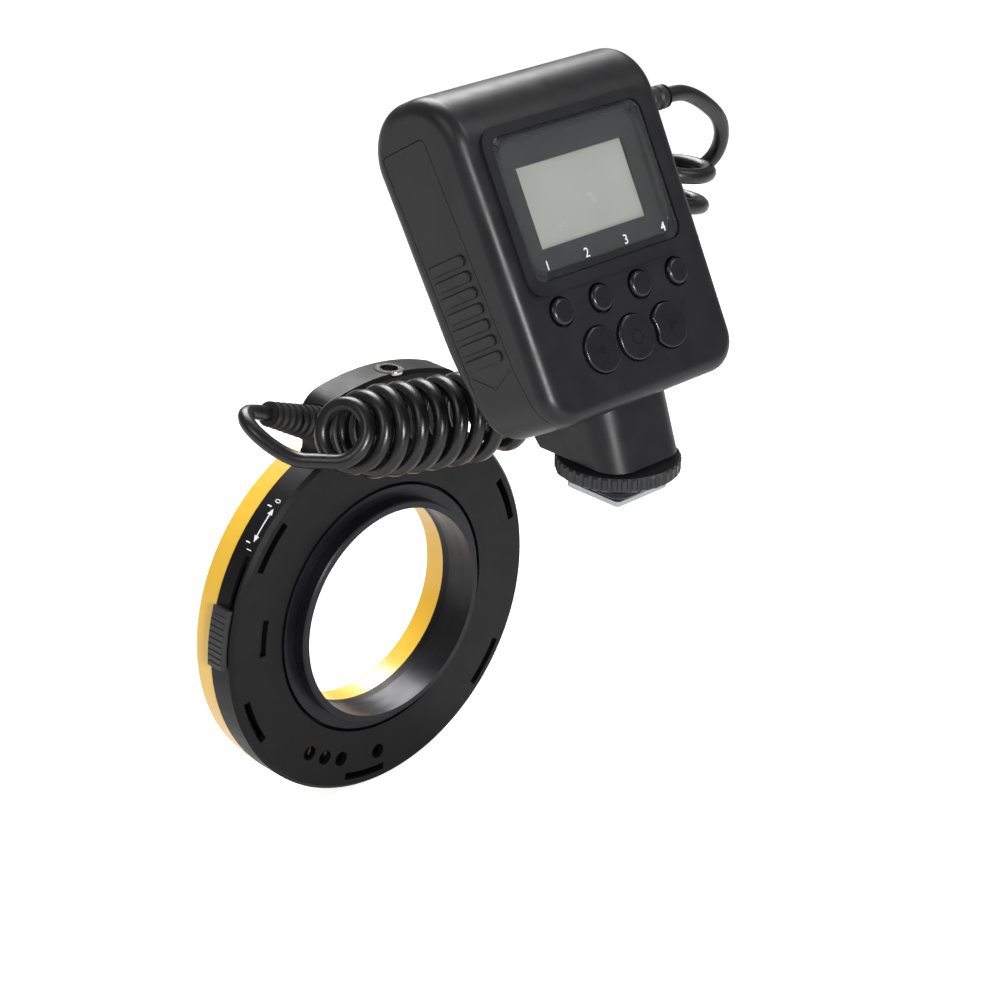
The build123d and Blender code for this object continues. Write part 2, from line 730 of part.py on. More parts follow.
def sector(r0, r1, start, end, z0, z1):
    """A block between two radii and two angles."""
    reach = r1 * 2
    middle = (start + end) / 2
    wedge = make_face(Polyline((0, 0), polar(reach, start)[:2], polar(reach, middle)[:2], polar(reach, end)[:2], close=True))
    block = extrude(Pos(0, 0, z0) * wedge, amount=z1 - z0)
    return (block & cyl(r1, z0, z1)) - cyl(r0, z0 - 1, z1 + 1)


def at_radius(edges, radius, slack=1.0):
    return [e for e in edges if abs((e.center().X ** 2 + e.center().Y ** 2) ** 0.5 - radius) < slack]


def lobe_block(inset, z0, z1):
    """The lobe on top of the ring, with rounded outer ends."""
    half = LOBE_HALF - degrees(inset / LOBE_R)
    block = sector(1, LOBE_R - inset, LOBE_ANGLE - half, LOBE_ANGLE + half, z0, z1)
    return fillet(at_radius(block.edges().filter_by(Axis.Z), LOBE_R - inset), LOBE_END_R - inset)


def head_block(z0, z1):
    """The ring's disc and its lobe as one outline, with hollow corners between them."""
    block = cyl(RING_R, z0, z1) + lobe_block(0, z0, z1)
    corners = [e for e in at_radius(block.edges().filter_by(Axis.Z), RING_R) if e.center().Y > 1]
    return fillet(corners, LOBE_ROOT_R)


def insert_plane(radius):
    """Plane across the tripod thread's axis at a radius, facing outwards."""
    out = polar(1, INSERT_ANGLE)
    return Plane(origin=polar(radius, INSERT_ANGLE, INSERT_Z), x_dir=(0, 0, 1), z_dir=out)


def insert_boss():
    length = LOBE_R - 1.3 - (LOBE_R - INSERT_L)
    return place(cyl(INSERT_BOSS_R, -length, 0), insert_plane(LOBE_R - 1.3))


def insert_space():
    """Room for the thread insert: its body, and its flange in a counterbore."""
    flange_low = LOBE_R + 0.3 - INSERT_FLANGE_T
    space = cyl(INSERT_R, -INSERT_L - 3, 0) + cyl(INSERT_FLANGE_R + 0.1, 0, 6)
    return place(space, insert_plane(flange_low))


def thread_insert():
    flange_low = LOBE_R + 0.3 - INSERT_FLANGE_T
    insert = cyl(INSERT_R, INSERT_FLANGE_T - INSERT_L, 0) + cyl(INSERT_FLANGE_R, 0, INSERT_FLANGE_T)
    insert = chamfer(insert.edges().sort_by(Axis.Z)[-1], 0.25)
    insert -= cyl(INSERT_BORE_R, -INSERT_L, INSERT_FLANGE_T + 1)
    return place(insert, insert_plane(flange_low))


def boot_plane():
    """Plane at the root of the ring's relief, facing out along it."""
    root = Vector(*BOOT_ROOT)
    tip = Vector(*BOOT_TIP)
    return Plane(origin=BOOT_ROOT, x_dir=(0, 0, 1), z_dir=tip - root)


def boot_length():
    return (Vector(*BOOT_TIP) - Vector(*BOOT_ROOT)).length


def ring_strain_relief():
    boot = ribbed_relief(boot_length(), BOOT_ROOT_R, BOOT_TIP_R, BOOT_RIBS)
    return place(boot, boot_plane())


def boot_space():
    return place(cyl(BOOT_ROOT_R + 0.05, -0.1, boot_length()), boot_plane())


def ferrule_block():
    """A small pale key in the lobe's rear corner, beside the relief."""
    long, wide, tall = FERRULE_SIZE
    low = -0.4
    block = box(-long / 2, long / 2, -wide / 2, wide / 2, low, low + tall)
    along = (Vector(*BOOT_TIP) - Vector(*BOOT_ROOT)).normalized()
    spot = Vector(*BOOT_ROOT) + along * FERRULE_ALONG + Vector(-along.Y, along.X, 0) * FERRULE_OFF
    return Pos(spot.X, spot.Y, 0) * Rot(0, 0, degrees(atan2(along.Y, along.X))) * block


def relief_ferrule():
    return ferrule_block()


def ring_rear_shell():
    """Back of the lamp head, with its vents, the lever's notch and the screw bosses."""
    shell = head_block(0, RING_SEAM)
    shell = chamfer(shell.faces().sort_by(Axis.Z)[0].outer_wire().edges(), RING_RIM)
    shell -= cyl(RECESS_R, -1, RING_SEAM + 1)
    lip_r = LOCK_IN_R - LEVER_GAP
    lip_top = RING_WALL + LOCK_T - 0.1
    shell -= cyl(RING_R - RING_WALL, RING_WALL, RING_SEAM + 1) - cyl(lip_r, RING_WALL - 1, RING_SEAM + 2)
    shell -= cyl(lip_r + 0.5, lip_top, RING_SEAM + 1)
    shell -= lobe_block(RING_WALL, RING_WALL, RING_SEAM + 1) - cyl(RING_R, 0, RING_SEAM + 2)
    for angle in RING_SCREW_ANGLES:
        x, y, z = polar(RING_SCREW_R, angle)
        shell += cyl(HOLE_R, RING_WALL - 0.5, FLOOR_Z, x, y)
        shell -= cyl(SCREW_R, RING_WALL - 0.2, FLOOR_Z + 1, x, y)
    for angle in VENT_ANGLES:
        half = VENT_SPAN / 2
        shell -= sector(VENT_R - VENT_W / 2, VENT_R + VENT_W / 2, angle - half, angle + half, -1, RING_WALL + 0.5)
    shell -= sector(SIGHT_R - VENT_W / 2, SIGHT_R + VENT_W / 2, SIGHT_FROM, SIGHT_TO, -1, RING_WALL + 0.5)
    for angle in HOLE_ANGLES:
        x, y, z = polar(HOLE_RING_R, angle)
        shell -= cyl(HOLE_R, -1, RING_WALL + 0.5, x, y)
    shell -= sector(RING_R - 3, RING_R + 3, ARM_FROM - 1, ARM_TO + LOCK_TURN + 1, RING_WALL - 0.1, RING_SEAM + 1)
    shell += insert_boss() & box(-60, 60, 0, 90, RING_WALL - 0.5, RING_SEAM)
    return shell - insert_space() - boot_space() - ferrule_block()


def pawl_frame(angle):
    """Frame of a pawl: x outwards, y across, z forward."""
    return Rot(0, 0, angle)


def ring_front_shell():
    """Front of the dark body: outer wall, floor, inner tube and the guides of the pawls."""
    floor_top = FLOOR_Z + FLOOR_T
    shell = head_block(RING_SEAM, LOBE_FRONT)
    shell = chamfer(shell.faces().sort_by(Axis.Z)[-1].outer_wire().edges(), RING_RIM)
    shell -= cyl(RING_R + 0.4, RING_BODY, LOBE_FRONT + 1)
    shell -= cyl(RING_R - RING_WALL, RING_SEAM - 1, RING_BODY + 1)
    shell -= lobe_block(RING_WALL, RING_SEAM - 1, LOBE_FRONT - RING_WALL) - cyl(RING_R + RING_WALL, 0, LOBE_FRONT)
    wall_in = RING_R - RING_WALL + 0.2
    tube_r = BORE_R + TUBE_WALL
    shell += turned([
        (wall_in, FLOOR_Z), (wall_in, floor_top), (STEP_R, floor_top), (STEP_R, STEP_Z + FLOOR_T),
        (tube_r, STEP_Z + FLOOR_T), (tube_r, RING_BODY), (BORE_R, RING_BODY), (BORE_R, STEP_Z),
        (ADAPTER_R + 0.5, STEP_Z), (ADAPTER_R + 0.5, FLOOR_Z),
    ])
    low = RING_WALL + LOCK_T + RUN_GAP
    for angle in PAWL_ANGLES:
        for side in (-1, 1):
            near = side * (PAWL_W / 2 + 0.1)
            far = side * (PAWL_W / 2 + 1.3)
            guide = box(LOCK_IN_R - 0.6, LOCK_OUT_R + 0.6, min(near, far), max(near, far), low, FLOOR_Z + 0.3)
            shell += pawl_frame(angle) * guide
    for angle in RING_SCREW_ANGLES:
        x, y, z = polar(RING_SCREW_R, angle)
        shell -= cyl(SCREW_R + SCREW_HOLE_GAP, FLOOR_Z - 1, floor_top + 1, x, y)
    for angle in THROUGH_ANGLES:
        x, y, z = polar(HOLE_RING_R, angle)
        shell -= cyl(HOLE_R, FLOOR_Z - 1, floor_top + 1, x, y)
    boss = insert_boss() & box(-60, 60, 0, 90, RING_SEAM, LOBE_FRONT - RING_WALL + 0.5)
    return (shell + boss) - insert_space() - boot_space()


# Lamp head: bayonet


def adapter_ring():
    """Ring that screws into a lens and is held by the pawls in its groove."""
    groove_low = RING_WALL + LOCK_T - 0.1
    groove_high = STEP_Z - ADAPTER_LIP
    thread_end = ADAPTER_BACK - THREAD_L
    ring = turned([
        (BORE_R, thread_end), (THREAD_R - 0.4, thread_end), (THREAD_R, thread_end + 0.4), (THREAD_R, ADAPTER_BACK),
        (ADAPTER_R, ADAPTER_BACK), (ADAPTER_R, groove_low), (ADAPTER_GROOVE_R, groove_low),
        (ADAPTER_GROOVE_R, groove_high), (ADAPTER_R, groove_high), (ADAPTER_R, STEP_Z), (BORE_R, STEP_Z),
    ])
    return ring


def cam_slot(angle):
    """Spiral slot that drives one pawl: its radius grows as the lock ring turns."""
    ends = []
    for side in (-CAM_HALF_W, CAM_HALF_W):
        line = []
        for turn in (-1.2, LOCK_TURN / 2, LOCK_TURN + 1.2):
            line.append(polar(CAM_R + PAWL_STROKE * turn / LOCK_TURN + side, angle - turn))
        ends.append(line)
    inner, outer = ends
    start = [(a + b) / 2 for a, b in zip(inner[0], outer[0])]
    finish = [(a + b) / 2 for a, b in zip(inner[2], outer[2])]
    bulge = CAM_HALF_W
    before = Vector(*start) + Vector(*polar(bulge, angle + 1.2 + 90))
    after = Vector(*finish) + Vector(*polar(bulge, angle - LOCK_TURN - 1.2 - 90))
    face = make_face([
        ThreePointArc(*inner), ThreePointArc(inner[2], after, outer[2]),
        ThreePointArc(*outer[::-1]), ThreePointArc(outer[0], before, inner[0]),
    ])
    return extrude(Pos(0, 0, RING_WALL - 1) * face, amount=LOCK_T + 2)


def lock_ring():
    """Flat ring with a cam slot for each pawl and an arm out to the lever."""
    top = RING_WALL + LOCK_T
    ring = cyl(LOCK_OUT_R, RING_WALL, top) - cyl(LOCK_IN_R, 0, top + 1)
    ring -= [cam_slot(angle) for angle in PAWL_ANGLES]
    arm = sector(LOCK_OUT_R - 0.5, RING_R + LEVER_GAP, ARM_FROM, ARM_TO, RING_WALL, top)
    return ring + arm


def lever_grip():
    """Ribbed grip outside the wall, on the end of the lock ring's arm."""
    inner = RING_R + LEVER_GAP
    grip = sector(inner, inner + LEVER_T, LEVER_FROM, LEVER_TO, LEVER_LOW, LEVER_HIGH)
    grip = chamfer(at_radius(grip.faces().sort_by(Axis.Z)[0].edges(), inner + LEVER_T, 0.3), 0.5)
    grip = chamfer(at_radius(grip.faces().sort_by(Axis.Z)[-1].edges(), inner + LEVER_T, 0.3), 0.5)
    step = (LEVER_TO - LEVER_FROM) / (LEVER_GROOVES + 1)
    for i in range(LEVER_GROOVES):
        x, y, z = polar(inner + LEVER_T + 0.3, LEVER_FROM + (i + 1) * step)
        grip -= cyl(0.55, LEVER_LOW - 1, LEVER_HIGH + 1, x, y)
    return grip


def pawl(angle):
    """Sliding pawl with a tip for the adapter's groove and a pin in its cam slot."""
    low = RING_WALL + LOCK_T
    bar = box(PAWL_TIP_R, PAWL_END_R, -PAWL_W / 2, PAWL_W / 2, low, low + PAWL_T)
    bar = chamfer(bar.faces().sort_by(Axis.X)[0].edges().filter_by(Axis.Z), 1.0)
    bar += cyl(PAWL_PIN_R, RING_WALL + 0.1, low + 0.5, CAM_R)
    return pawl_frame(angle) * bar


# Lamp head: lamps


def led_board():
    low = FLOOR_Z + FLOOR_T
    board = cyl(LED_BOARD_OUT_R, low, low + LED_BOARD_T) - cyl(LED_BOARD_IN_R, 0, low + 3)
    for angle in RING_SCREW_ANGLES:
        x, y, z = polar(RING_SCREW_R, angle)
        board -= cyl(SCREW_HEAD_R + 0.2, 0, low + 3, x, y)
    for angle in THROUGH_ANGLES:
        x, y, z = polar(HOLE_RING_R, angle)
        board -= cyl(HOLE_R, 0, low + 3, x, y)
    return board


def led_blocks(width, z0, z1):
    blocks = []
    for radius in LED_RINGS:
        for i in range(LED_COUNT):
            block = box(radius - width / 2, radius + width / 2, -width / 2, width / 2, z0, z1)
            blocks.append(Rot(0, 0, (i + 0.5) * 360 / LED_COUNT) * block)
    return blocks


def leds():
    low = FLOOR_Z + FLOOR_T + LED_BOARD_T
    return led_blocks(LED_W, low, low + LED_T)


def reflector():
    """White tray round the lamps."""
    low = FLOOR_Z + FLOOR_T + LED_BOARD_T
    top = low + REFLECTOR_T
    high = low + REFLECTOR_LIP
    tray = turned([
        (LED_BOARD_IN_R, low), (LED_BOARD_OUT_R, low), (LED_BOARD_OUT_R, high), (LED_BOARD_OUT_R - 0.5, high),
        (LED_BOARD_OUT_R - 0.5, top), (LED_BOARD_IN_R + 0.5, top), (LED_BOARD_IN_R + 0.5, high), (LED_BOARD_IN_R, high),
    ])
    for angle in THROUGH_ANGLES:
        x, y, z = polar(HOLE_RING_R, angle)
        tray -= cyl(HOLE_R, low - 1, top + 1, x, y)
    return tray - led_blocks(LED_W + 0.2, low - 1, top + 1)


def ring_screws():
    head = FLOOR_Z + FLOOR_T
    screws = []
    for angle in RING_SCREW_ANGLES:
        x, y, z = polar(RING_SCREW_R, angle)
        shank = cyl(SCREW_R, RING_WALL + 0.3, head, x, y)
        screws.append(shank + cyl(SCREW_HEAD_R, head, head + LED_BOARD_T - 0.1, x, y))
    return screws


def amber_diffuser():
    """Clip-on cup over the lamps, clear all through."""
    inner = AMBER_FRONT - AMBER_WALL
    cup = turned([
        (BORE_R, RING_BODY), (BORE_R + TUBE_WALL, RING_BODY), (BORE_R + TUBE_WALL, inner),
        (AMBER_FRONT_R - AMBER_WALL, inner), (AMBER_BACK_R - AMBER_WALL, RING_BODY),
        (AMBER_BACK_R, RING_BODY), (AMBER_FRONT_R, AMBER_FRONT), (BORE_R, AMBER_FRONT),
    ])
    edges = cup.edges().filter_by(GeomType.CIRCLE).group_by(Axis.Z)[-1]
    cup = fillet(edges, AMBER_EDGE)
    wall_in = RING_R - RING_WALL
    for angle in CLIP_ANGLES:
        start, end = angle - CLIP_SPAN / 2, angle + CLIP_SPAN / 2
        cup += sector(wall_in - 1.5, wall_in - 0.1, start, end, RING_BODY - CLIP_DEPTH, RING_BODY + 1)
        cup += sector(wall_in - 1.5, wall_in + 0.3, start, end, RING_BODY, RING_BODY + 1)
    return cup


# Curly lead


def bezier(points, u):
    """Point on a cubic Bezier curve."""
    weights = ((1 - u) ** 3, 3 * u * (1 - u) ** 2, 3 * u * u * (1 - u), u ** 3)
    return sum((Vector(*p) * w for p, w in zip(points, weights)), Vector(0, 0, 0))


def axis_points(points, count):
    """Evenly spaced points along one stretch of the coil's axis."""
    fine = [bezier(points, i / 400) for i in range(401)]
    reach = [0.0]
    for a, b in zip(fine, fine[1:]):
        reach.append(reach[-1] + (b - a).length)
    spaced = []
    j = 0
    for i in range(count + 1):
        want = reach[-1] * i / count
        while j < 399 and reach[j + 1] < want:
            j += 1
        share = (want - reach[j]) / (reach[j + 1] - reach[j])
        spaced.append(fine[j] + (fine[j + 1] - fine[j]) * share)
    return spaced


def coil_points():
    """Points on the coil's centre line, with one more past each end for the end directions."""
    counts = [round(turns * COIL_STEPS) for turns in COIL_TURNS]
    axis = axis_points(COIL_AXIS[0:4], counts[0]) + axis_points(COIL_AXIS[3:7], counts[1])[1:]
    axis = [axis[0] * 2 - axis[1]] + axis + [axis[-1] * 2 - axis[-2]]
    up = Vector(0, 0, 1)
    points = []
    for i, centre in enumerate(axis):
        ahead = axis[min(i + 1, len(axis) - 1)]
        behind = axis[max(i - 1, 0)]
        along = (ahead - behind).normalized()
        turn = (i - 1) / COIL_STEPS
        share = min(max((COIL_LEAN_HOLD + COIL_LEAN_FADE - turn) / COIL_LEAN_FADE, 0), 1)
        share = share * share * (3 - 2 * share)
        facing = (Vector(*COIL_LEAN) * share + along * (1 - share)).normalized()
        up = (up - facing * up.dot(facing)).normalized()
        side = facing.cross(up)
        angle = 2 * pi * turn + radians(COIL_PHASE)
        grown = min(max(turn / COIL_GROWTH, 0), 1)
        radius = COIL_START_R + (COIL_R - COIL_START_R) * grown
        points.append(centre + up * (radius * cos(angle)) - side * (radius * sin(angle)))
    return points


def least_gap(points):
    """Least gap between the coil's turns, measured on its points."""
    skip = COIL_STEPS // 2
    least = min((points[i] - q).length for i in range(len(points)) for q in points[i + skip:i + 3 * COIL_STEPS])
    return least - 2 * CORD_R


def biarc(p0, t0, p1, t1):
    """Two arcs that join two points in their given directions."""
    v = p1 - p0
    t = t0 + t1
    spare = 2 * (1 - t0.dot(t1))
    d = (-v.dot(t) + sqrt(v.dot(t) ** 2 + spare * v.dot(v))) / spare
    middle = (p0 + t0 * d + p1 - t1 * d) * 0.5
    first = TangentArc(p0, middle, tangent=t0)
    return [first, TangentArc(middle, p1, tangent=first % 1)]


def coil_knots():
    """Every quarter turn: a point on the coil and the cord's direction there."""
    points = coil_points()
    knots = []
    for i in range(1, len(points) - 1, COIL_STEPS // 4):
        knots.append((points[i], (points[i + 1] - points[i - 1]).normalized()))
    return knots


def tube(edges, start, direction):
    section = Plane(origin=start, z_dir=direction) * Circle(CORD_R)
    return sweep(section, path=Wire(edges))


def cord_coil():
    """The coiled stretch as one unbroken tube, straight for one diameter at each end."""
    knots = coil_knots()
    start, first = knots[0]
    end, last = knots[-1]
    tail = 2 * CORD_R
    edges = [Line(start - first * tail, start)]
    for (p0, t0), (p1, t1) in zip(knots, knots[1:]):
        edges += biarc(p0, t0, p1, t1)
    edges.append(Line(end, end + last * tail))
    return tube(edges, start - first * tail, first)


def lead(points):
    """A free stretch: straight runs joined by arcs as large as the runs allow."""
    points = [Vector(*p) for p in points]
    radii = []
    for a, b, c in zip(points, points[1:], points[2:]):
        turn = radians((b - a).get_angle(c - b))
        radii.append(0.45 * min((b - a).length, (c - b).length) / tan(turn / 2))
    path = FilletPolyline(*points, radius=radii)
    shape = tube(path.edges(), points[0], points[1] - points[0])
    section = pi * CORD_R ** 2
    print("lead: length %.0f mm, radii" % path.length, [round(r, 1) for r in radii],
          "volume over section x length %.3f" % (shape.volume / section / path.length))
    return shape


def cord_ring_lead():
    """From the ring's relief round a tight turn to the coil's first loop."""
    start = RING.from_local_coords(Vector(*BOOT_TIP))
    out = (start - RING.from_local_coords(Vector(*BOOT_ROOT))).normalized()
    end, heading = coil_knots()[0]
    end = end - heading * (2 * CORD_R)
    return lead([start, start + out * LEAD_START, *RING_LEAD_ROUTE, end - heading * LEAD_END, end])


def cord_unit_lead():
    """From the unit's relief out, down and round to the top of the coil."""
    start = UNIT.from_local_coords(Vector(unit_relief_start() + RELIEF_OUT, RELIEF_Y, -RELIEF_N))
    end, heading = coil_knots()[-1]
    end = end + heading * (2 * CORD_R)
    return lead([start, start + Vector(LEAD_START, 0, 0), *UNIT_LEAD_ROUTE, end + heading * LEAD_END, end])


# Nodes


def gathered(solids):
    """Several loose solids kept together in one node."""
    return Compound(children=list(solids))


def in_unit(shape):
    return place(shape, UNIT)


def in_ring(shape):
    return place(shape, RING)


def build():
    """Every node of the object under its name."""
    neck_rear, neck_front = neck_shells()
    unit_rear, unit_front = unit_shells()
    nodes = {
        "shoe_foot": shoe_foot(),
        "threaded_stem": threaded_stem(),
        "contact_sleeve": contact_sleeve(),
        "contact_pin": contact_pin(),
        "clamp_plate": clamp_plate(),
        "lock_wheel": lock_wheel(),
        "foot_screws": gathered(foot_screws()),
        "neck_rear_shell": neck_rear,
        "neck_front_shell": neck_front,
        "unit_rear_shell": in_unit(unit_rear),
        "unit_front_shell": in_unit(unit_front),
        "battery_door": in_unit(battery_door()),
        "battery_cells": gathered(in_unit(cell) for cell in battery_cells()),
        "battery_tray": in_unit(battery_tray()),
        "battery_contacts": gathered(in_unit(plate) for plate in battery_contacts()),
        "door_contacts": gathered(in_unit(plate) for plate in door_contacts()),
        "window_lens": in_unit(window_lens()),
        "lcd_frame": in_unit(lcd_frame()),
        "lcd_panel": in_unit(lcd_panel()),
        "main_board": in_unit(main_board()),
        "tact_switches": gathered(in_unit(switch) for switch in tact_switches()),
        "unit_screws": gathered(in_unit(screw) for screw in unit_screws()),
        "key_set": in_unit(round_key(0, SET_Y, SET_R, KEY_GAP, SET_RISE, 0.6)),
        "key_left": in_unit(side_key(-1)),
        "key_right": in_unit(side_key(1)),
        "unit_strain_relief": in_unit(unit_strain_relief()),
        "ring_rear_shell": in_ring(ring_rear_shell()),
        "ring_front_shell": in_ring(ring_front_shell()),
        "adapter_ring": in_ring(adapter_ring()),
        "lock_ring": in_ring(lock_ring()),
        "lever_grip": in_ring(lever_grip()),
        "led_board": in_ring(led_board()),
        "leds": gathered(in_ring(led) for led in leds()),
        "reflector": in_ring(reflector()),
        "ring_screws": gathered(in_ring(screw) for screw in ring_screws()),
        "amber_diffuser": in_ring(amber_diffuser()),
        "thread_insert": in_ring(thread_insert()),
        "ring_strain_relief": in_ring(ring_strain_relief()),
        "relief_ferrule": in_ring(relief_ferrule()),
        "cord_ring_lead": cord_ring_lead(),
        "cord_coil": cord_coil(),
        "cord_unit_lead": cord_unit_lead(),
    }
    for number, x in enumerate(BUTTON_XS, 1):
        nodes["button_%d" % number] = in_unit(round_key(x, BUTTON_Y, BUTTON_R, BUTTON_GAP, BUTTON_RISE, 1.0))
    for number, angle in enumerate(PAWL_ANGLES, 1):
        nodes["lock_pawl_%d" % number] = in_ring(pawl(angle))
    return nodes


def main():
    for name, shape in build().items():
        export_step(shape, "parts/%s.step" % name)
    print("coil: least gap to itself %.2f mm, turns %.2f" % (least_gap(coil_points()), sum(COIL_TURNS)))


main()
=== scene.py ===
"""Macro ring light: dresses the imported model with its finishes, curly lead, printed marks and lamps."""

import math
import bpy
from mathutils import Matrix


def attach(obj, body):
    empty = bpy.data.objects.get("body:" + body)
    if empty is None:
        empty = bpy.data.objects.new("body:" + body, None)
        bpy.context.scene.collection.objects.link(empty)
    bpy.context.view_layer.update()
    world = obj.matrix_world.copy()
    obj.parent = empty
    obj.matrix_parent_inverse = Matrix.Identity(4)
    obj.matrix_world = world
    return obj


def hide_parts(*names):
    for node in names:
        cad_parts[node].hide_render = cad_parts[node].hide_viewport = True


bl_info = {
    "name": "Macro Ring Light",
    "version": (1, 0, 0),
    "blender": (4, 5, 0),
    "location": "View3D > Sidebar > Ring Light",
    "description": "Builds the finishes, curly lead, printed marks and lamps of a macro ring light",
    "category": "Object",
}

import bmesh
import bpy
from bpy.props import FloatProperty, FloatVectorProperty, IntProperty, PointerProperty
from mathutils import Matrix, Vector

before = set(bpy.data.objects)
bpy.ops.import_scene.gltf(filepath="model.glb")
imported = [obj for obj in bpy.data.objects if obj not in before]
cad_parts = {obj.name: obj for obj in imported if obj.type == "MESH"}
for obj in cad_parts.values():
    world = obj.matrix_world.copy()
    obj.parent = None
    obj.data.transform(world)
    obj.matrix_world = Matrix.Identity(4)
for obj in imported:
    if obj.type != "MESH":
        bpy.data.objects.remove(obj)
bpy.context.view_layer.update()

MM = 0.001

# Colour sockets of a Mix node, found by index because its other sockets have the same names
MIX_FIRST = 6
MIX_SECOND = 7
MIX_RESULT = 2

# Size to give the built-in font, over the height that its numerals then have
FONT_SIZE_OVER_HEIGHT = 1.37


def linear(code):
    """Linear RGBA of an sRGB hex colour."""
    parts = [int(code[i:i + 2], 16) / 255 for i in (1, 3, 5)]
    return tuple(c / 12.92 if c <= 0.04045 else ((c + 0.055) / 1.055) ** 2.4 for c in parts) + (1.0,)


# Frames of the control unit and the lamp head, in millimetres, as the solids have them

TILT = math.radians(27.97)
FACE_SHIFT = 23.67
UNIT_FRAME = Matrix((
    (1, 0, 0, 0),
    (0, math.sin(TILT), -math.cos(TILT), -FACE_SHIFT * math.cos(TILT)),
    (0, math.cos(TILT), math.sin(TILT), FACE_SHIFT * math.sin(TILT)),
    (0, 0, 0, 1),
))
RING_BACK_Y = 88.7
RING_Z = -68.6
RING_FRAME = Matrix(((-1, 0, 0, 0), (0, 0, 1, RING_BACK_Y), (0, 1, 0, RING_Z), (0, 0, 0, 1)))


def in_metres(place, x, y, z):
    """A point of a sub-assembly's frame, in millimetres, as a point of the scene."""
    return (place @ Vector((x, y, z))) * MM


# Mesh and node helpers


def feed(tree, item, inputs):
    """Fill or link a node's inputs by name or index."""
    for key, value in inputs.items():
        if isinstance(value, bpy.types.NodeSocket):
            tree.links.new(value, item.inputs[key])
        else:
            item.inputs[key].default_value = value


def add_node(tree, kind, settings=None, inputs=None):
    """Add a node, set its properties, then fill or link its inputs."""
    item = tree.nodes.new(kind)
    for key, value in (settings or {}).items():
        setattr(item, key, value)
    feed(tree, item, inputs or {})
    return item


def mesh_object(name, mesh, material=None):
    """Link a mesh as a new object, with a material if it has none of its own."""
    made = bpy.data.objects.new(name, mesh)
    bpy.context.scene.collection.objects.link(made)
    if material:
        made.data.materials.append(material)
    return made


def from_bmesh(name, work, material):
    """Turn a bmesh into an object with outward faces."""
    bmesh.ops.recalc_face_normals(work, faces=work.faces)
    mesh = bpy.data.meshes.new(name)
    work.to_mesh(mesh)
    work.free()
    return mesh_object(name, mesh, material)


def slab(work, outline, low, high, put):
    """Add a flat piece: an outline in two dimensions given thickness, then placed point by point."""
    rings = [[work.verts.new(put(x, y, z)) for x, y in outline] for z in (low, high)]
    work.faces.new(rings[0][::-1])
    work.faces.new(rings[1])
    count = len(outline)
    for i in range(count):
        j = (i + 1) % count
        work.faces.new((rings[0][i], rings[0][j], rings[1][j], rings[1][i]))


def numeral(work, text, height, thickness, put):
    """Add a printed numeral, centred on its own origin, built from the built-in font's outline."""
    curve = bpy.data.curves.new("numeral", "FONT")
    curve.body = text
    curve.size = height * FONT_SIZE_OVER_HEIGHT
    curve.align_x = "CENTER"
    curve.align_y = "CENTER"
    curve.resolution_u = 3
    curve.extrude = thickness / 2
    carrier = bpy.data.objects.new("numeral", curve)
    bpy.context.scene.collection.objects.link(carrier)
    bpy.context.view_layer.update()
    flat = bpy.data.meshes.new_from_object(carrier.evaluated_get(bpy.context.evaluated_depsgraph_get()))
    made = [work.verts.new(put(v.co.x, v.co.y, v.co.z + thickness / 2)) for v in flat.vertices]
    for face in flat.polygons:
        work.faces.new([made[i] for i in face.vertices])
    bpy.data.objects.remove(carrier)
    bpy.data.meshes.remove(flat)


def on_unit(x0, y0, z0):
    """Placing function for marks on the control unit's face."""
    return lambda x, y, z: in_metres(UNIT_FRAME, x0 + x, y0 + y, z0 + z)


def round_ring(radius, depth, along=0.0):
    """Placing function for marks on the head's side wall: x runs up the rim, y forward."""
    def put(x, y, z):
        angle = along + x / radius
        r = radius + z
        return in_metres(RING_FRAME, r * math.cos(angle), r * math.sin(angle), depth + y)
    return put


# Finishes, each named for the real material and how its surface was made


def pattern_scale(size_mm):
    """Scale of a pattern whose grain or repeat has a real size."""
    return 1000 / size_mm


def start_material(name):
    """An empty material with a Principled surface, its output and the piece's own coordinates."""
    material = bpy.data.materials.new(name)
    material.use_nodes = True
    tree = material.node_tree
    tree.nodes.clear()
    surface = add_node(tree, "ShaderNodeBsdfPrincipled")
    add_node(tree, "ShaderNodeOutputMaterial", None, {"Surface": surface.outputs["BSDF"]})
    place = add_node(tree, "ShaderNodeTexCoord")
    return material, tree, surface, place.outputs["Object"]


def grain_bump(tree, surface, place, size_mm, depth_mm):
    """Surface relief from noise whose grains have a real size and depth."""
    noise = add_node(tree, "ShaderNodeTexNoise", None, {
        "Vector": place, "Scale": pattern_scale(size_mm), "Detail": 2.0, "Roughness": 0.55,
    })
    bump = add_node(tree, "ShaderNodeBump", None, {
        "Height": noise.outputs["Fac"], "Strength": 0.6, "Distance": depth_mm * MM,
    })
    feed(tree, surface, {"Normal": bump.outputs["Normal"]})


def drift(tree, place, size_mm, low, high):
    """A value that wanders slowly between two limits over patches of a real size."""
    noise = add_node(tree, "ShaderNodeTexNoise", None, {
        "Vector": place, "Scale": pattern_scale(size_mm), "Detail": 3.0,
    })
    spread = add_node(tree, "ShaderNodeMapRange", {"clamp": True}, {
        "Value": noise.outputs["Fac"], "From Min": 0.3, "From Max": 0.7, "To Min": low, "To Max": high,
    })
    return spread.outputs["Result"]


def mottled(tree, place, size_mm, dark, light):
    """A colour that wanders between two close shades."""
    share = drift(tree, place, size_mm, 0.0, 1.0)
    blend = add_node(tree, "ShaderNodeMix", {"data_type": "RGBA"}, {
        "Factor": share, MIX_FIRST: linear(dark), MIX_SECOND: linear(light),
    })
    return blend.outputs[MIX_RESULT]


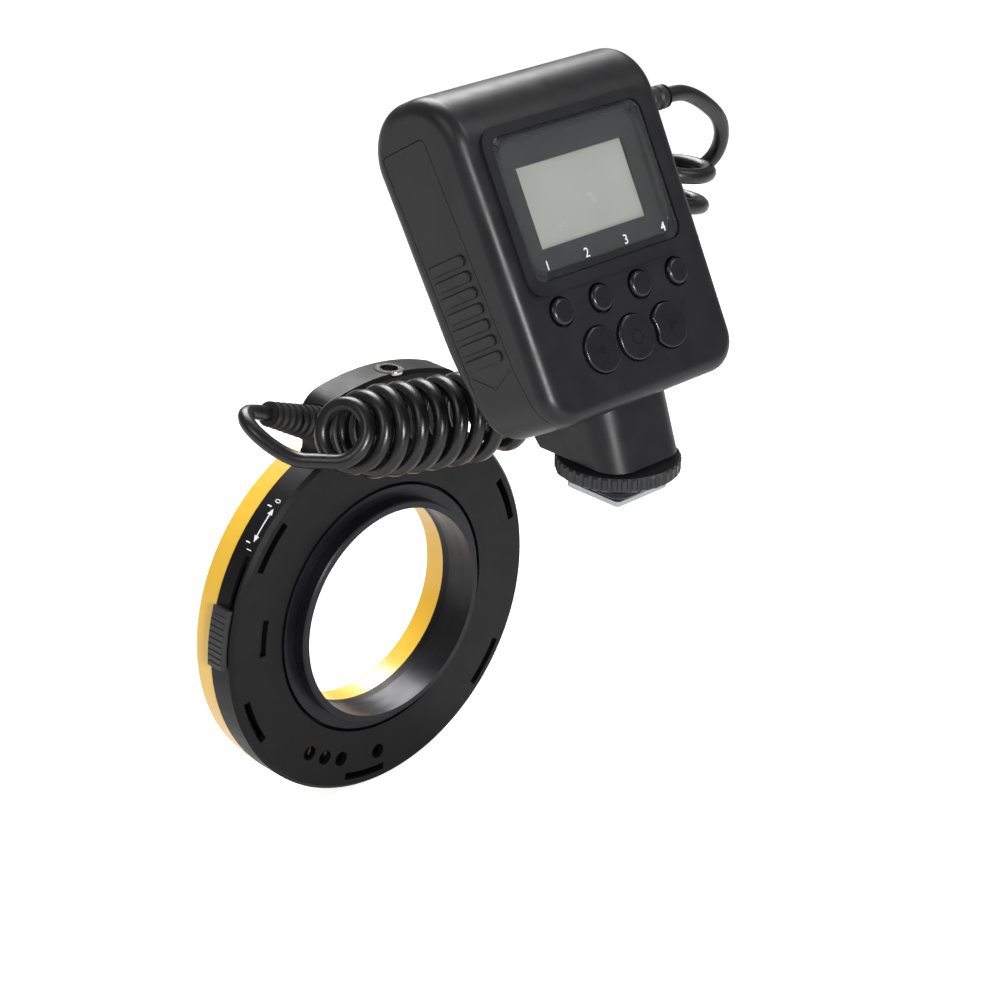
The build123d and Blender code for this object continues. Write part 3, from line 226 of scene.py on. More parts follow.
def moulded_plastic(name, dark, light, roughness, grain_mm, depth_mm, ior=1.5, shine=0.5):
    """Injection-moulded plastic: the mould's grain, drawn coarse enough to show, softens the shine, which
    drifts a little from handling."""
    material, tree, surface, place = start_material(name)
    feed(tree, surface, {
        "Base Color": mottled(tree, place, 9.0, dark, light),
        "Roughness": drift(tree, place, 6.0, roughness - 0.05, roughness + 0.06),
        "IOR": ior, "Specular IOR Level": shine,
    })
    grain_bump(tree, surface, place, grain_mm, depth_mm)
    return material


def shell_abs():
    """Black ABS from a spark-eroded mould. Its grain is 0.5 mm, not the real 0.1 mm, so that it shows."""
    return moulded_plastic(
        "Moulded black ABS", "#161618", "#1c1c1e", roughness=0.36, grain_mm=0.5, depth_mm=0.010, shine=0.36)


def head_abs_painted_shade():
    """Black ABS of the lamp head: the same resin with a flatter grain, coloured darker than the unit's shell.
    The darker colour is painted shade for the camera body that the head mounts on, which shades it and
    darkens its reflections.
    """
    return moulded_plastic(
        # this darker colour pair is painted shade and painted dark reflection from the camera body in front
        # of the head
        "Matt black ABS", "#0b0b0c", "#0f0f10",
        roughness=0.44, grain_mm=0.5, depth_mm=0.012, ior=1.4, shine=0.3)


def key_abs():
    """Polished black ABS of the keys: smooth domes with a tight highlight."""
    return moulded_plastic(
        "Polished black ABS", "#101012", "#161618", roughness=0.26, grain_mm=0.8, depth_mm=0.003, ior=1.52)


def grip_abs():
    """Satin black ABS of the knurled wheel and the lever's grip."""
    return moulded_plastic(
        "Satin black ABS", "#161618", "#1d1d1f", roughness=0.34, grain_mm=0.6, depth_mm=0.006, ior=1.52)


def soft_tpe():
    """Black thermoplastic elastomer of the reliefs: rubbery, nearly without shine."""
    return moulded_plastic(
        "Black TPE", "#151516", "#1b1b1c", roughness=0.52, grain_mm=0.5, depth_mm=0.010)


def pale_acetal():
    """Light grey acetal of the small key beside the relief."""
    return moulded_plastic(
        "Pale grey acetal", "#9c9da0", "#a9aaad", roughness=0.38, grain_mm=0.6, depth_mm=0.006, ior=1.48)


def black_acetal():
    """Black acetal of the lock ring and its pawls: waxy and self-lubricating."""
    return moulded_plastic(
        "Black acetal", "#1d1d1e", "#252527", roughness=0.34, grain_mm=0.7, depth_mm=0.004, ior=1.48)


def cradle_pp():
    """Black polypropylene of the battery cradle."""
    return moulded_plastic(
        "Black polypropylene", "#19191a", "#202021", roughness=0.5, grain_mm=0.7, depth_mm=0.01, ior=1.49)


def pin_nylon():
    """Black nylon of the insulating sleeve round the contact."""
    return moulded_plastic(
        "Black nylon", "#1a1a1b", "#222223", roughness=0.45, grain_mm=0.5, depth_mm=0.006, ior=1.53)


def border_ink():
    """Black ink on the back of the window: even and matt."""
    material, tree, surface, place = start_material("Black screen ink")
    feed(tree, surface, {
        "Base Color": mottled(tree, place, 18.0, "#131314", "#161618"),
        "Roughness": drift(tree, place, 10.0, 0.55, 0.65),
    })
    return material


def mark_ink(colour):
    """White pad-printing ink, slightly uneven at its edges."""
    material, tree, surface, place = start_material("White printing ink")
    feed(tree, surface, {"Base Color": colour, "Roughness": drift(tree, place, 0.8, 0.45, 0.62)})
    grain_bump(tree, surface, place, 0.3, 0.004)
    return material


def engraving_painted_shade():
    """Bottom of an engraved mark in black plastic: polished, and darker than the key round it. The darker
    colour is painted shade for the depth of a groove that the flat inlay does not have.
    """
    return moulded_plastic(
        # this darker colour pair is painted shade for the groove of the engraving
        "Engraved black plastic", "#0b0b0c", "#0f0f10",
        roughness=0.22, grain_mm=0.5, depth_mm=0.002, ior=1.52)


def window_acrylic():
    """Clear cast acrylic with a hard coat: fully see-through, faintly smoky."""
    material, tree, surface, place = start_material("Clear acrylic")
    feed(tree, surface, {
        "Base Color": linear("#e9ebec"), "Transmission Weight": 1.0, "IOR": 1.49,
        "Roughness": drift(tree, place, 12.0, 0.03, 0.05),
    })
    return material


def display_glass():
    """Reflective liquid-crystal glass, switched off: grey-green polariser film over a faint grid of cells."""
    material, tree, surface, place = start_material("Polariser film")
    shade = mottled(tree, place, 22.0, "#bcbbb1", "#c5c4ba")
    cells = add_node(tree, "ShaderNodeTexVoronoi", {"distance": "CHEBYCHEV"}, {
        "Vector": place, "Scale": pattern_scale(0.9), "Randomness": 0.0,
    })
    faint = add_node(tree, "ShaderNodeMapRange", None, {
        "Value": cells.outputs["Distance"], "From Min": 0.42, "From Max": 0.5, "To Min": 0.0, "To Max": 0.05,
    })
    mixed = add_node(tree, "ShaderNodeMix", {"data_type": "RGBA"}, {
        "Factor": faint.outputs["Result"], MIX_FIRST: shade, MIX_SECOND: linear("#9f9e96"),
    })
    feed(tree, surface, {
        "Base Color": mixed.outputs[MIX_RESULT], "Roughness": drift(tree, place, 8.0, 0.2, 0.28),
    })
    return material


def amber_polycarbonate(colour):
    """Amber polycarbonate: the colour is in the resin, light goes through it, and the outside is polished."""
    material, tree, surface, place = start_material("Amber polycarbonate")
    share = drift(tree, place, 14.0, 0.0, 0.12)
    pale = add_node(tree, "ShaderNodeMix", {"data_type": "RGBA"}, {
        "Factor": share, MIX_FIRST: colour, MIX_SECOND: linear("#ffe07a"),
    })
    feed(tree, surface, {
        "Base Color": pale.outputs[MIX_RESULT], "Roughness": drift(tree, place, 5.0, 0.28, 0.36),
        "IOR": 1.58, "Transmission Weight": 0.12, "Coat Weight": 0.4, "Coat Roughness": 0.12,
    })
    grain_bump(tree, surface, place, 1.4, 0.02)
    return material


def reflector_white():
    """White filled polycarbonate of the reflector: bright, nearly matt."""
    return moulded_plastic(
        "White polycarbonate", "#dcdcd8", "#e6e6e2", roughness=0.42, grain_mm=0.8, depth_mm=0.01, ior=1.58)


def solder_mask(name, dark, light):
    """Solder mask over copper: a lacquer with faint raised tracks, about 3 mm apart so that they show."""
    material, tree, surface, place = start_material(name)
    edges = {"distance": "MANHATTAN", "feature": "DISTANCE_TO_EDGE"}
    tracks = add_node(tree, "ShaderNodeTexVoronoi", edges, {
        "Vector": place, "Scale": pattern_scale(3.0), "Randomness": 0.6,
    })
    lift = add_node(tree, "ShaderNodeMapRange", None, {
        "Value": tracks.outputs["Distance"], "From Min": 0.02, "From Max": 0.06, "To Min": 1.0, "To Max": 0.0,
    })
    bump = add_node(tree, "ShaderNodeBump", None, {
        "Height": lift.outputs["Result"], "Strength": 0.5, "Distance": 0.03 * MM,
    })
    feed(tree, surface, {
        "Base Color": mottled(tree, place, 12.0, dark, light),
        "Roughness": drift(tree, place, 4.0, 0.26, 0.36), "Normal": bump.outputs["Normal"],
    })
    return material


def worked_metal(name, dark, light, roughness, stretch, grain_mm, depth_mm):
    """Metal with a directional finish: long grains along one axis, drawn coarse enough to show."""
    material, tree, surface, place = start_material(name)
    pull = add_node(tree, "ShaderNodeMapping", None, {"Vector": place, "Scale": stretch})
    lines = add_node(tree, "ShaderNodeTexNoise", None, {
        "Vector": pull.outputs["Vector"], "Scale": pattern_scale(grain_mm), "Detail": 2.0,
    })
    rough = add_node(tree, "ShaderNodeMapRange", None, {
        "Value": lines.outputs["Fac"], "From Min": 0.3, "From Max": 0.7,
        "To Min": roughness - 0.06, "To Max": roughness + 0.08,
    })
    bump = add_node(tree, "ShaderNodeBump", None, {
        "Height": lines.outputs["Fac"], "Strength": 0.4, "Distance": depth_mm * MM,
    })
    feed(tree, surface, {
        "Base Color": mottled(tree, place, 3.0, dark, light), "Metallic": 1.0,
        "Roughness": rough.outputs["Result"], "Normal": bump.outputs["Normal"],
    })
    return material


def bright_nickel():
    """Nickel plate on turned brass: mirror-like and slightly warm."""
    return worked_metal(
        "Bright nickel", "#c2bfb8", "#d0cdc6",
        roughness=0.16, stretch=(1, 1, 6), grain_mm=0.5, depth_mm=0.004)


def brushed_steel():
    """Stainless steel foot, brushed along its length."""
    return worked_metal(
        "Brushed steel", "#a9abad", "#b9bbbd",
        roughness=0.28, stretch=(8, 1, 8), grain_mm=0.6, depth_mm=0.006)


def zinc_steel():
    """Zinc-plated steel of the screws, the stem and the switch covers: grey and slightly dull."""
    return worked_metal(
        "Zinc-plated steel", "#9da0a4", "#adb0b4",
        roughness=0.34, stretch=(2, 2, 2), grain_mm=0.4, depth_mm=0.004)


def blackened_steel():
    """Pressed steel clamp plate with a black oxide finish: dark, with the metal's own sheen."""
    return worked_metal(
        "Black-oxide steel", "#2a2a2c", "#343437",
        roughness=0.36, stretch=(2, 6, 2), grain_mm=0.5, depth_mm=0.004)


def spring_nickel():
    """Nickel-plated spring steel of the battery contacts."""
    return worked_metal(
        "Nickel-plated spring steel", "#b4b2ac", "#c4c2bc",
        roughness=0.24, stretch=(1, 6, 1), grain_mm=0.5, depth_mm=0.003)


def gold_plate():
    """Thin gold plate on the brass contact pin."""
    return worked_metal(
        "Gold plate", "#d9b35c", "#e4c070", roughness=0.18, stretch=(2, 2, 2), grain_mm=0.4, depth_mm=0.002)


def black_anodised():
    """Black anodised aluminium, turned: dyed oxide over metal, with shallow rings from the lathe."""
    material, tree, surface, place = start_material("Black anodised aluminium")
    # the node draws about three bands in one repeat, so the rings show 4.4 mm apart
    rings = add_node(tree, "ShaderNodeTexWave", {"bands_direction": "Y"}, {
        "Vector": place, "Scale": pattern_scale(14.0), "Distortion": 0.0,
    })
    bump = add_node(tree, "ShaderNodeBump", None, {
        "Height": rings.outputs["Fac"], "Strength": 0.5, "Distance": 0.05 * MM,
    })
    feed(tree, surface, {
        "Base Color": mottled(tree, place, 7.0, "#1d1d20", "#242427"), "Metallic": 0.55,
        "Roughness": drift(tree, place, 5.0, 0.3, 0.38), "Normal": bump.outputs["Normal"],
    })
    return material


def cell_sleeve():
    """Shrunk PVC sleeve of the cells, plain dark green, with the steel ends left bright."""
    return moulded_plastic(
        "Shrunk PVC sleeve", "#24513d", "#2b5d46", roughness=0.3, grain_mm=2.5, depth_mm=0.02, ior=1.54)


def lamp_body():
    """White moulded body of the lamps."""
    return moulded_plastic(
        "White lamp body", "#d8d8d2", "#e2e2dc", roughness=0.4, grain_mm=0.5, depth_mm=0.003, ior=1.53)


def phosphor():
    """Yellow phosphor in clear silicone over each lamp's chip."""
    material, tree, surface, place = start_material("Phosphor in silicone")
    feed(tree, surface, {
        "Base Color": mottled(tree, place, 0.6, "#e2c21c", "#efd239"), "Roughness": 0.25, "Coat Weight": 0.5,
        "Subsurface Weight": 0.1, "Subsurface Radius": (0.0006, 0.0005, 0.0002),
    })
    return material


def cord_jacket(colour):
    """Polyurethane jacket of the curly lead: extruded smooth, satin, with faint scuffs along it."""
    material, tree, surface, place = start_material("Black polyurethane jacket")
    feed(tree, surface, {
        "Base Color": colour, "Roughness": drift(tree, place, 2.2, 0.26, 0.38), "IOR": 1.5,
    })
    grain_bump(tree, surface, place, 1.1, 0.012)
    return material


# What a user would change: sizes and colours, with their defaults


class FinishSettings(bpy.types.PropertyGroup):
    """Colours of the diffuser, the lead and the printed marks."""
    amber: FloatVectorProperty(
        name="Amber", description="Colour of the diffuser", subtype="COLOR", size=4,
        default=linear("#ffcb38"))
    jacket: FloatVectorProperty(
        name="Jacket", description="Colour of the curly lead", subtype="COLOR", size=4,
        default=linear("#0e0e0f"))
    ink: FloatVectorProperty(
        name="Ink", description="Colour of the printed marks", subtype="COLOR", size=4,
        default=linear("#e6e8ec"))


class LeadSettings(bpy.types.PropertyGroup):
    """Sizes of the curly lead."""
    diameter: FloatProperty(
        name="Diameter", description="Outside diameter of the lead", unit="LENGTH", default=4.2 * MM)
    coil_radius: FloatProperty(
        name="Coil radius", description="From the coil's axis to the middle of the lead", unit="LENGTH",
        default=10.4 * MM)
    first_radius: FloatProperty(
        name="First loop", description="Radius of the first, tighter loop", unit="LENGTH", default=7.2 * MM)
    points_a_turn: IntProperty(
        name="Points a turn", description="Control points in each turn of the coil", default=16, min=12)


class MarkSettings(bpy.types.PropertyGroup):
    """Sizes of the printed and engraved marks."""
    numeral_height: FloatProperty(
        name="Numeral height", description="Height of the numerals under the display", unit="LENGTH",
        default=2.5 * MM)
    line_width: FloatProperty(
        name="Line width", description="Width of the lock's travel line", unit="LENGTH", default=0.42 * MM)
    ink_thickness: FloatProperty(
        name="Ink thickness", description="How far the ink stands up", unit="LENGTH", default=0.04 * MM)


class LampSettings(bpy.types.PropertyGroup):
    """The lamps' phosphor domes."""
    in_a_circle: IntProperty(
        name="Lamps in a circle", description="Lamps in each of the two circles", default=24)
    inner_radius: FloatProperty(
        name="Inner circle", description="Radius of the inner circle", unit="LENGTH", default=41.6 * MM)
    outer_radius: FloatProperty(
        name="Outer circle", description="Radius of the outer circle", unit="LENGTH", default=49.9 * MM)
    dome_radius: FloatProperty(
        name="Dome", description="Radius of one phosphor dome", unit="LENGTH", default=1.05 * MM)


class StageSettings(bpy.types.PropertyGroup):
    """Floor, lights and camera."""
    floor_size: FloatProperty(name="Floor", description="Side of the floor", unit="LENGTH", default=6.0)
    azimuth: FloatProperty(
        name="Azimuth", description="Direction of view, from straight ahead to the right", subtype="ANGLE",
        default=math.radians(44.67))
    elevation: FloatProperty(
        name="Elevation", description="How far the camera looks down", subtype="ANGLE",
        default=math.radians(25.52))
    roll: FloatProperty(
        name="Roll", description="Turn of the camera about its axis", subtype="ANGLE",
        default=math.radians(0.68))
    lens: FloatProperty(
        name="Lens", description="Focal length in millimetres on a 36 mm sensor", default=97.2)


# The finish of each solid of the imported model


class RINGLIGHT_OT_finishes(bpy.types.Operator):
    """Give every solid of the model its finish"""
    bl_idname = "ringlight.finishes"
    bl_label = "Finishes"

    def execute(self, context):
        settings = context.scene.ringlight_finish
        shell, key, grip, tpe = shell_abs(), key_abs(), grip_abs(), soft_tpe()
        # the head's finish is coloured darker than the shell as painted shade
        head, acetal = head_abs_painted_shade(), black_acetal()
        zinc, spring = zinc_steel(), spring_nickel()
        finish_of = {
            "unit_rear_shell": shell, "unit_front_shell": shell, "battery_door": shell,
            "neck_rear_shell": shell, "neck_front_shell": shell,
            "ring_rear_shell": head, "ring_front_shell": head,
            "lever_grip": grip, "lock_wheel": grip,
            "key_set": key, "key_left": key, "key_right": key,
            "button_1": key, "button_2": key, "button_3": key, "button_4": key,
            "unit_strain_relief": tpe, "ring_strain_relief": tpe,
            "relief_ferrule": pale_acetal(),
            "lock_ring": acetal, "lock_pawl_1": acetal, "lock_pawl_2": acetal, "lock_pawl_3": acetal,
            "adapter_ring": black_anodised(),
            "amber_diffuser": amber_polycarbonate(settings.amber),
            "reflector": reflector_white(),
            "led_board": solder_mask("White solder mask", "#d9dad6", "#e3e4e0"),
            "leds": lamp_body(),
            "ring_screws": zinc, "unit_screws": zinc, "foot_screws": zinc, "tact_switches": zinc,
            "threaded_stem": zinc,
            "clamp_plate": blackened_steel(),
            "shoe_foot": brushed_steel(),
            "thread_insert": bright_nickel(),
            "contact_sleeve": pin_nylon(), "contact_pin": gold_plate(),
            "battery_tray": cradle_pp(), "battery_cells": cell_sleeve(),
            "battery_contacts": spring, "door_contacts": spring,
            "window_lens": window_acrylic(), "lcd_frame": border_ink(), "lcd_panel": display_glass(),
            "main_board": solder_mask("Green solder mask", "#1e4a2c", "#245634"),
        }
        dressed_elsewhere = {"cord_ring_lead", "cord_coil", "cord_unit_lead"}
        left = set(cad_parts) - set(finish_of) - dressed_elsewhere
        if left:
            raise RuntimeError(f"no finish for {sorted(left)}")
        for node, finish in finish_of.items():
            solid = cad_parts[node]
            solid.data.materials.clear()
            solid.data.materials.append(finish)
        return {"FINISHED"}


# Curly lead: one spline from the head's relief through the coil to the unit's relief, in millimetres. It
# keeps within 10 mm of the solids' lead. Its right end stands higher than theirs and folds under, as in the
# photograph.

# the plain lead: its straight starts at the reliefs, then its way to and from the coil
LEAD_OUT = 3.4
HEAD_RELIEF_ROOT = (18.8, 61.3, 3.8)         # in the head's frame
HEAD_RELIEF_TIP = (38.0, 70.7, 3.0)
UNIT_RELIEF_TIP = (44.663, 90.0, -9.0)       # in the unit's frame
HEAD_LEAD_ROUTE = ((-46.2, 90.9, 5.3), (-49.1, 87.2, 4.6), (-49.1, 82.4, 2.2), (-47.2, 77.6, -0.8))
UNIT_LEAD_ROUTE = (
    (44.2, 42, 68.6), (48.2, 48.6, 65.5), (55, 51, 60.5), (62.8, 48, 57), (69.8, 41.5, 57), (72.4, 36, 61),
    (72.9, 33, 67.5), (69.5, 31, 75), (61, 30, 81.5), (53.2, 29.4, 85.6),
)

# the coil's axis: two cubic Bezier stretches that share their middle point, with the turns of each
COIL_AXIS = (
    (-36, 66, 4), (-29, 67, 1), (-13, 60.5, 1), (0, 54, 2),
    (13, 47.5, 3), (52, 36, 26), (52, 32.5, 68.5),
)
COIL_TURNS = (7.0, 11.5)
AXIS_STEPS = 400               # steps in which a stretch of the axis is measured
COIL_TAIL = 4.2                # a point lies on the first turn's tangent, this far before it
COIL_LEAD_IN = 5.0             # and another one this much further out
COIL_PHASE = math.radians(180)
COIL_GROWTH = 2.2              # turns over which the first, tighter loop grows to the full radius

# which way the turns face: the first loop, then the leaning turns at the head, then along the axis
FIRST_LOOP_FACING = (0.8, 0.3, -0.5)
FIRST_LOOP_FADE = 2.5          # turns
COIL_LEAN = (0.976, -0.063, -0.21)
COIL_LEAN_HOLD = 4.5           # turns
COIL_LEAN_FADE = 7.0           # turns


def bezier(points, u):
    """Point on a cubic Bezier curve."""
    weights = ((1 - u) ** 3, 3 * u * (1 - u) ** 2, 3 * u * u * (1 - u), u ** 3)
    return sum((Vector(p) * w for p, w in zip(points, weights)), Vector((0, 0, 0)))


def even_points(points, count):
    """Evenly spaced points along one stretch of the coil's axis."""
    fine = [bezier(points, i / AXIS_STEPS) for i in range(AXIS_STEPS + 1)]
    reach = [0.0]
    for a, b in zip(fine, fine[1:]):
        reach.append(reach[-1] + (b - a).length)
    spaced = []
    j = 0
    for i in range(count + 1):
        want = reach[-1] * i / count
        while j < AXIS_STEPS - 1 and reach[j + 1] < want:
            j += 1
        share = (want - reach[j]) / (reach[j + 1] - reach[j])
        spaced.append(fine[j] + (fine[j + 1] - fine[j]) * share)
    return spaced


def fading(turns_left, fade):
    """Share that falls smoothly from 1 to 0 over the last turns of a fade."""
    share = min(max(turns_left / fade, 0), 1)
    return share * share * (3 - 2 * share)


def coil_helix(steps, radius_mm, first_mm):
    """Control points of the coil, a little outside its turns, because the spline runs inside them."""
    counts = [round(turns * steps) for turns in COIL_TURNS]
    axis = even_points(COIL_AXIS[0:4], counts[0]) + even_points(COIL_AXIS[3:7], counts[1])[1:]
    swell = 1 / math.cos(math.pi / steps)
    up = Vector((0, 0, 1))
    points = []
    for i, centre in enumerate(axis):
        ahead = axis[min(i + 1, len(axis) - 1)]
        behind = axis[max(i - 1, 0)]
        along = (ahead - behind).normalized()
        turn = i / steps
        share = fading(COIL_LEAN_HOLD + COIL_LEAN_FADE - turn, COIL_LEAN_FADE)
        facing = (Vector(COIL_LEAN) * share + along * (1 - share)).normalized()
        share = fading(FIRST_LOOP_FADE - turn, FIRST_LOOP_FADE)
        facing = (Vector(FIRST_LOOP_FACING).normalized() * share + facing * (1 - share)).normalized()
        up = (up - facing * up.dot(facing)).normalized()
        side = facing.cross(up)
        angle = 2 * math.pi * turn + COIL_PHASE
        grown = min(turn / COIL_GROWTH, 1)
        radius = (first_mm + (radius_mm - first_mm) * grown) * swell
        points.append(centre + up * (radius * math.cos(angle)) - side * (radius * math.sin(angle)))
    return points


class RINGLIGHT_OT_curly_lead(bpy.types.Operator):
    """Lay the curly lead from the head's relief to the unit's relief"""
    bl_idname = "ringlight.curly_lead"
    bl_label = "Curly lead"

    def execute(self, context):
        lead = context.scene.ringlight_lead
        coil = coil_helix(lead.points_a_turn, lead.coil_radius / MM, lead.first_radius / MM)
        start = in_metres(RING_FRAME, *HEAD_RELIEF_TIP) / MM
        out = (start - in_metres(RING_FRAME, *HEAD_RELIEF_ROOT) / MM).normalized()
        end = in_metres(UNIT_FRAME, *UNIT_RELIEF_TIP) / MM
        first = (coil[1] - coil[0]).normalized()
        route = [start, start + out * LEAD_OUT, *map(Vector, HEAD_LEAD_ROUTE)]
        route += [coil[0] - first * (COIL_TAIL + COIL_LEAD_IN), coil[0] - first * COIL_TAIL]
        route += coil
        route += [*map(Vector, UNIT_LEAD_ROUTE), end + Vector((LEAD_OUT, 0, 0)), end]
        curve = bpy.data.curves.new("curly_lead", "CURVE")
        curve.dimensions = "3D"
        spline = curve.splines.new("NURBS")
        spline.points.add(len(route) - 1)
        for point, place in zip(spline.points, route):
            point.co = (*(place * MM), 1)
        spline.order_u = 3
        spline.use_endpoint_u = True
        spline.resolution_u = 4
        curve.bevel_depth = lead.diameter / 2
        curve.bevel_resolution = 4
        curve.materials.append(cord_jacket(context.scene.ringlight_finish.jacket))
        piece = bpy.data.objects.new("curly_lead", curve)
        context.scene.collection.objects.link(piece)
        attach(piece, "housing")
        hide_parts("cord_ring_lead", "cord_coil", "cord_unit_lead")
        return {"FINISHED"}


# Printed, engraved and moulded marks, in millimetres. The words of such products are left out, and plain
# numbers stand in their place.

# numerals on the window, under the round buttons
BUTTON_COLUMNS = (-20.4, -6.9, 6.9, 20.4)
NUMERAL_ROW = 58.4
WINDOW_TOP = 0.5

# the lock's travel on the head's rim: a line with an arrow, a tick and a numeral at each end
RING_BODY_R = 55.8
TRAVEL_LINE = (38.2, 49.0)     # degrees up the rim, clear of the slot of the lever's arm
TRAVEL_DEPTH = 3.3             # forward of the head's back face
ARC_STEPS_A_DEGREE = 1.5
ARROW_LENGTH = 1.9
ARROW_HALF = 0.95
LINE_INSET = 1.2               # degrees from an arrow's point to the line
TICK_DEPTH = 5.2               # forward of it too, as is the numerals'
TICK_HALF = 0.8
TICK_OUTSIDE = (0.6, 0.3)      # degrees beyond the two arrows' points
RIM_NUMERAL_HEIGHT = 2.0
RIM_NUMERAL_DEPTH = 3.5
RIM_NUMERAL_OUTSIDE = 2.5      # degrees beyond the arrows' points

# marks of the three lower keys, each a thin dark inlay that stands for an engraving; its darkness is painted
# shade for the groove
KEY_TOP = 1.0
KEY_ROW = 35.1
SIDE_KEY_COLUMN = 12.6
INLAY = 0.03
KEY_ARROW_POINT = 1.5
KEY_ARROW_BACK = 1.0
KEY_ARROW_HALF = 1.5
KEY_RING_INSIDE = 1.5
KEY_RING_OUTSIDE = 2.0
KEY_RING_SIDES = 32
WELD = 1e-7                    # metres within which corners count as one

# the battery door's chevron, up and across the side of the unit, which tapers
CHEVRON = ((38.1, 23.8), (34.2, 17.0), (37.7, 9.6))
CHEVRON_WIDTH = 0.55
CHEVRON_SPAN = (-0.1, 0.16)    # from inside the door's wall to the top of the mark
UNIT_SIDE = 33.6
UNIT_SIDE_LOW = 20.0
UNIT_SIDE_TAPER = math.tan(math.radians(0.87))


def arc_strip(work, from_deg, to_deg, width, thickness, radius, depth):
    """Add a printed line that runs up the rim between two angles."""
    steps = max(2, round((to_deg - from_deg) * ARC_STEPS_A_DEGREE))
    put = round_ring(radius, depth)
    for i in range(steps):
        a = math.radians(from_deg + (to_deg - from_deg) * i / steps) * radius
        b = math.radians(from_deg + (to_deg - from_deg) * (i + 1) / steps) * radius
        outline = [(a, -width / 2), (b, -width / 2), (b, width / 2), (a, width / 2)]
        slab(work, outline, 0, thickness, put)


class RINGLIGHT_OT_printed_marks(bpy.types.Operator):
    """Print the numerals on the window and the lock's travel line on the head's rim"""
    bl_idname = "ringlight.printed_marks"
    bl_label = "Printed marks"

    def execute(self, context):
        marks = context.scene.ringlight_marks
        ink = mark_ink(context.scene.ringlight_finish.ink)
        thick = marks.ink_thickness / MM
        work = bmesh.new()
        for i, x in enumerate(BUTTON_COLUMNS):
            numeral(work, str(i + 1), marks.numeral_height / MM, thick, on_unit(x, NUMERAL_ROW, WINDOW_TOP))
        numbers = from_bmesh("window_numerals", work, ink)
        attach(numbers, "housing")

        work = bmesh.new()
        wide = marks.line_width / MM
        low, high = TRAVEL_LINE
        arc_strip(work, low + LINE_INSET, high - LINE_INSET, wide, thick, RING_BODY_R, TRAVEL_DEPTH)
        for angle, way in ((low, 1), (high, -1)):
            head = [(0, 0), (way * ARROW_LENGTH, ARROW_HALF), (way * ARROW_LENGTH, -ARROW_HALF)]
            slab(work, head[::way], 0, thick, round_ring(RING_BODY_R, TRAVEL_DEPTH, math.radians(angle)))
        half = wide / 2
        tick = [(-half, -TICK_HALF), (half, -TICK_HALF), (half, TICK_HALF), (-half, TICK_HALF)]
        for angle in (low - TICK_OUTSIDE[0], high + TICK_OUTSIDE[1]):
            slab(work, tick, 0, thick, round_ring(RING_BODY_R, TICK_DEPTH, math.radians(angle)))
        for text, angle in (("1", low - RIM_NUMERAL_OUTSIDE), ("0", high + RIM_NUMERAL_OUTSIDE)):
            put = round_ring(RING_BODY_R, RIM_NUMERAL_DEPTH, math.radians(angle))
            numeral(work, text, RIM_NUMERAL_HEIGHT, thick, put)
        travel = from_bmesh("lock_travel_marks", work, ink)
        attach(travel, "housing")
        return {"FINISHED"}


class RINGLIGHT_OT_key_marks(bpy.types.Operator):
    """Engrave an arrow on each side key and a ring on the middle key"""
    bl_idname = "ringlight.key_marks"
    bl_label = "Key marks"

    def execute(self, context):
        # the inlays' darker colour is painted shade for the engraved grooves
        dark = engraving_painted_shade()
        for node, way in (("key_left", -1), ("key_right", 1)):
            work = bmesh.new()
            back = -way * KEY_ARROW_BACK
            arrow = [(way * KEY_ARROW_POINT, 0), (back, KEY_ARROW_HALF), (back, -KEY_ARROW_HALF)]
            slab(work, arrow[::way], 0, INLAY, on_unit(way * SIDE_KEY_COLUMN, KEY_ROW, KEY_TOP))
            piece = from_bmesh(node + "_arrow", work, dark)
            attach(piece, node)
        work = bmesh.new()
        put = on_unit(0, KEY_ROW, KEY_TOP)
        inside, outside = KEY_RING_INSIDE, KEY_RING_OUTSIDE
        for i in range(KEY_RING_SIDES):
            a = 2 * math.pi * i / KEY_RING_SIDES
            b = 2 * math.pi * (i + 1) / KEY_RING_SIDES
            corners = ((inside, a), (outside, a), (outside, b), (inside, b))
            slab(work, [(r * math.cos(t), r * math.sin(t)) for r, t in corners], 0, INLAY, put)
        bmesh.ops.remove_doubles(work, verts=work.verts, dist=WELD)
        piece = from_bmesh("key_set_ring", work, dark)
        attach(piece, "key_set")
        return {"FINISHED"}


class RINGLIGHT_OT_door_chevron(bpy.types.Operator):
    """Mould the chevron that shows which way the battery door slides"""
    bl_idname = "ringlight.door_chevron"
    bl_label = "Door chevron"

    def execute(self, context):
        def put(v, n, z):
            x = UNIT_SIDE + (v - UNIT_SIDE_LOW) * UNIT_SIDE_TAPER + z
            return in_metres(UNIT_FRAME, -x, v, -n)

        work = bmesh.new()
        for start, end in zip(map(Vector, CHEVRON), map(Vector, CHEVRON[1:])):
            along = (end - start).normalized()
            across = Vector((-along.y, along.x)) * CHEVRON_WIDTH / 2
            corners = (start + across, start - across, end - across, end + across)
            slab(work, [tuple(c) for c in corners], *CHEVRON_SPAN, put)
        chevron = from_bmesh("door_chevron", work, shell_abs())
        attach(chevron, "battery_door")
        return {"FINISHED"}


# Lamps: a phosphor dome on each, laid out by Geometry Nodes

LAMP_TOP = 97.6                # where the lamps' faces lie, in millimetres forward of the foot
DOME_FLATNESS = 0.22           # a dome's height over its radius


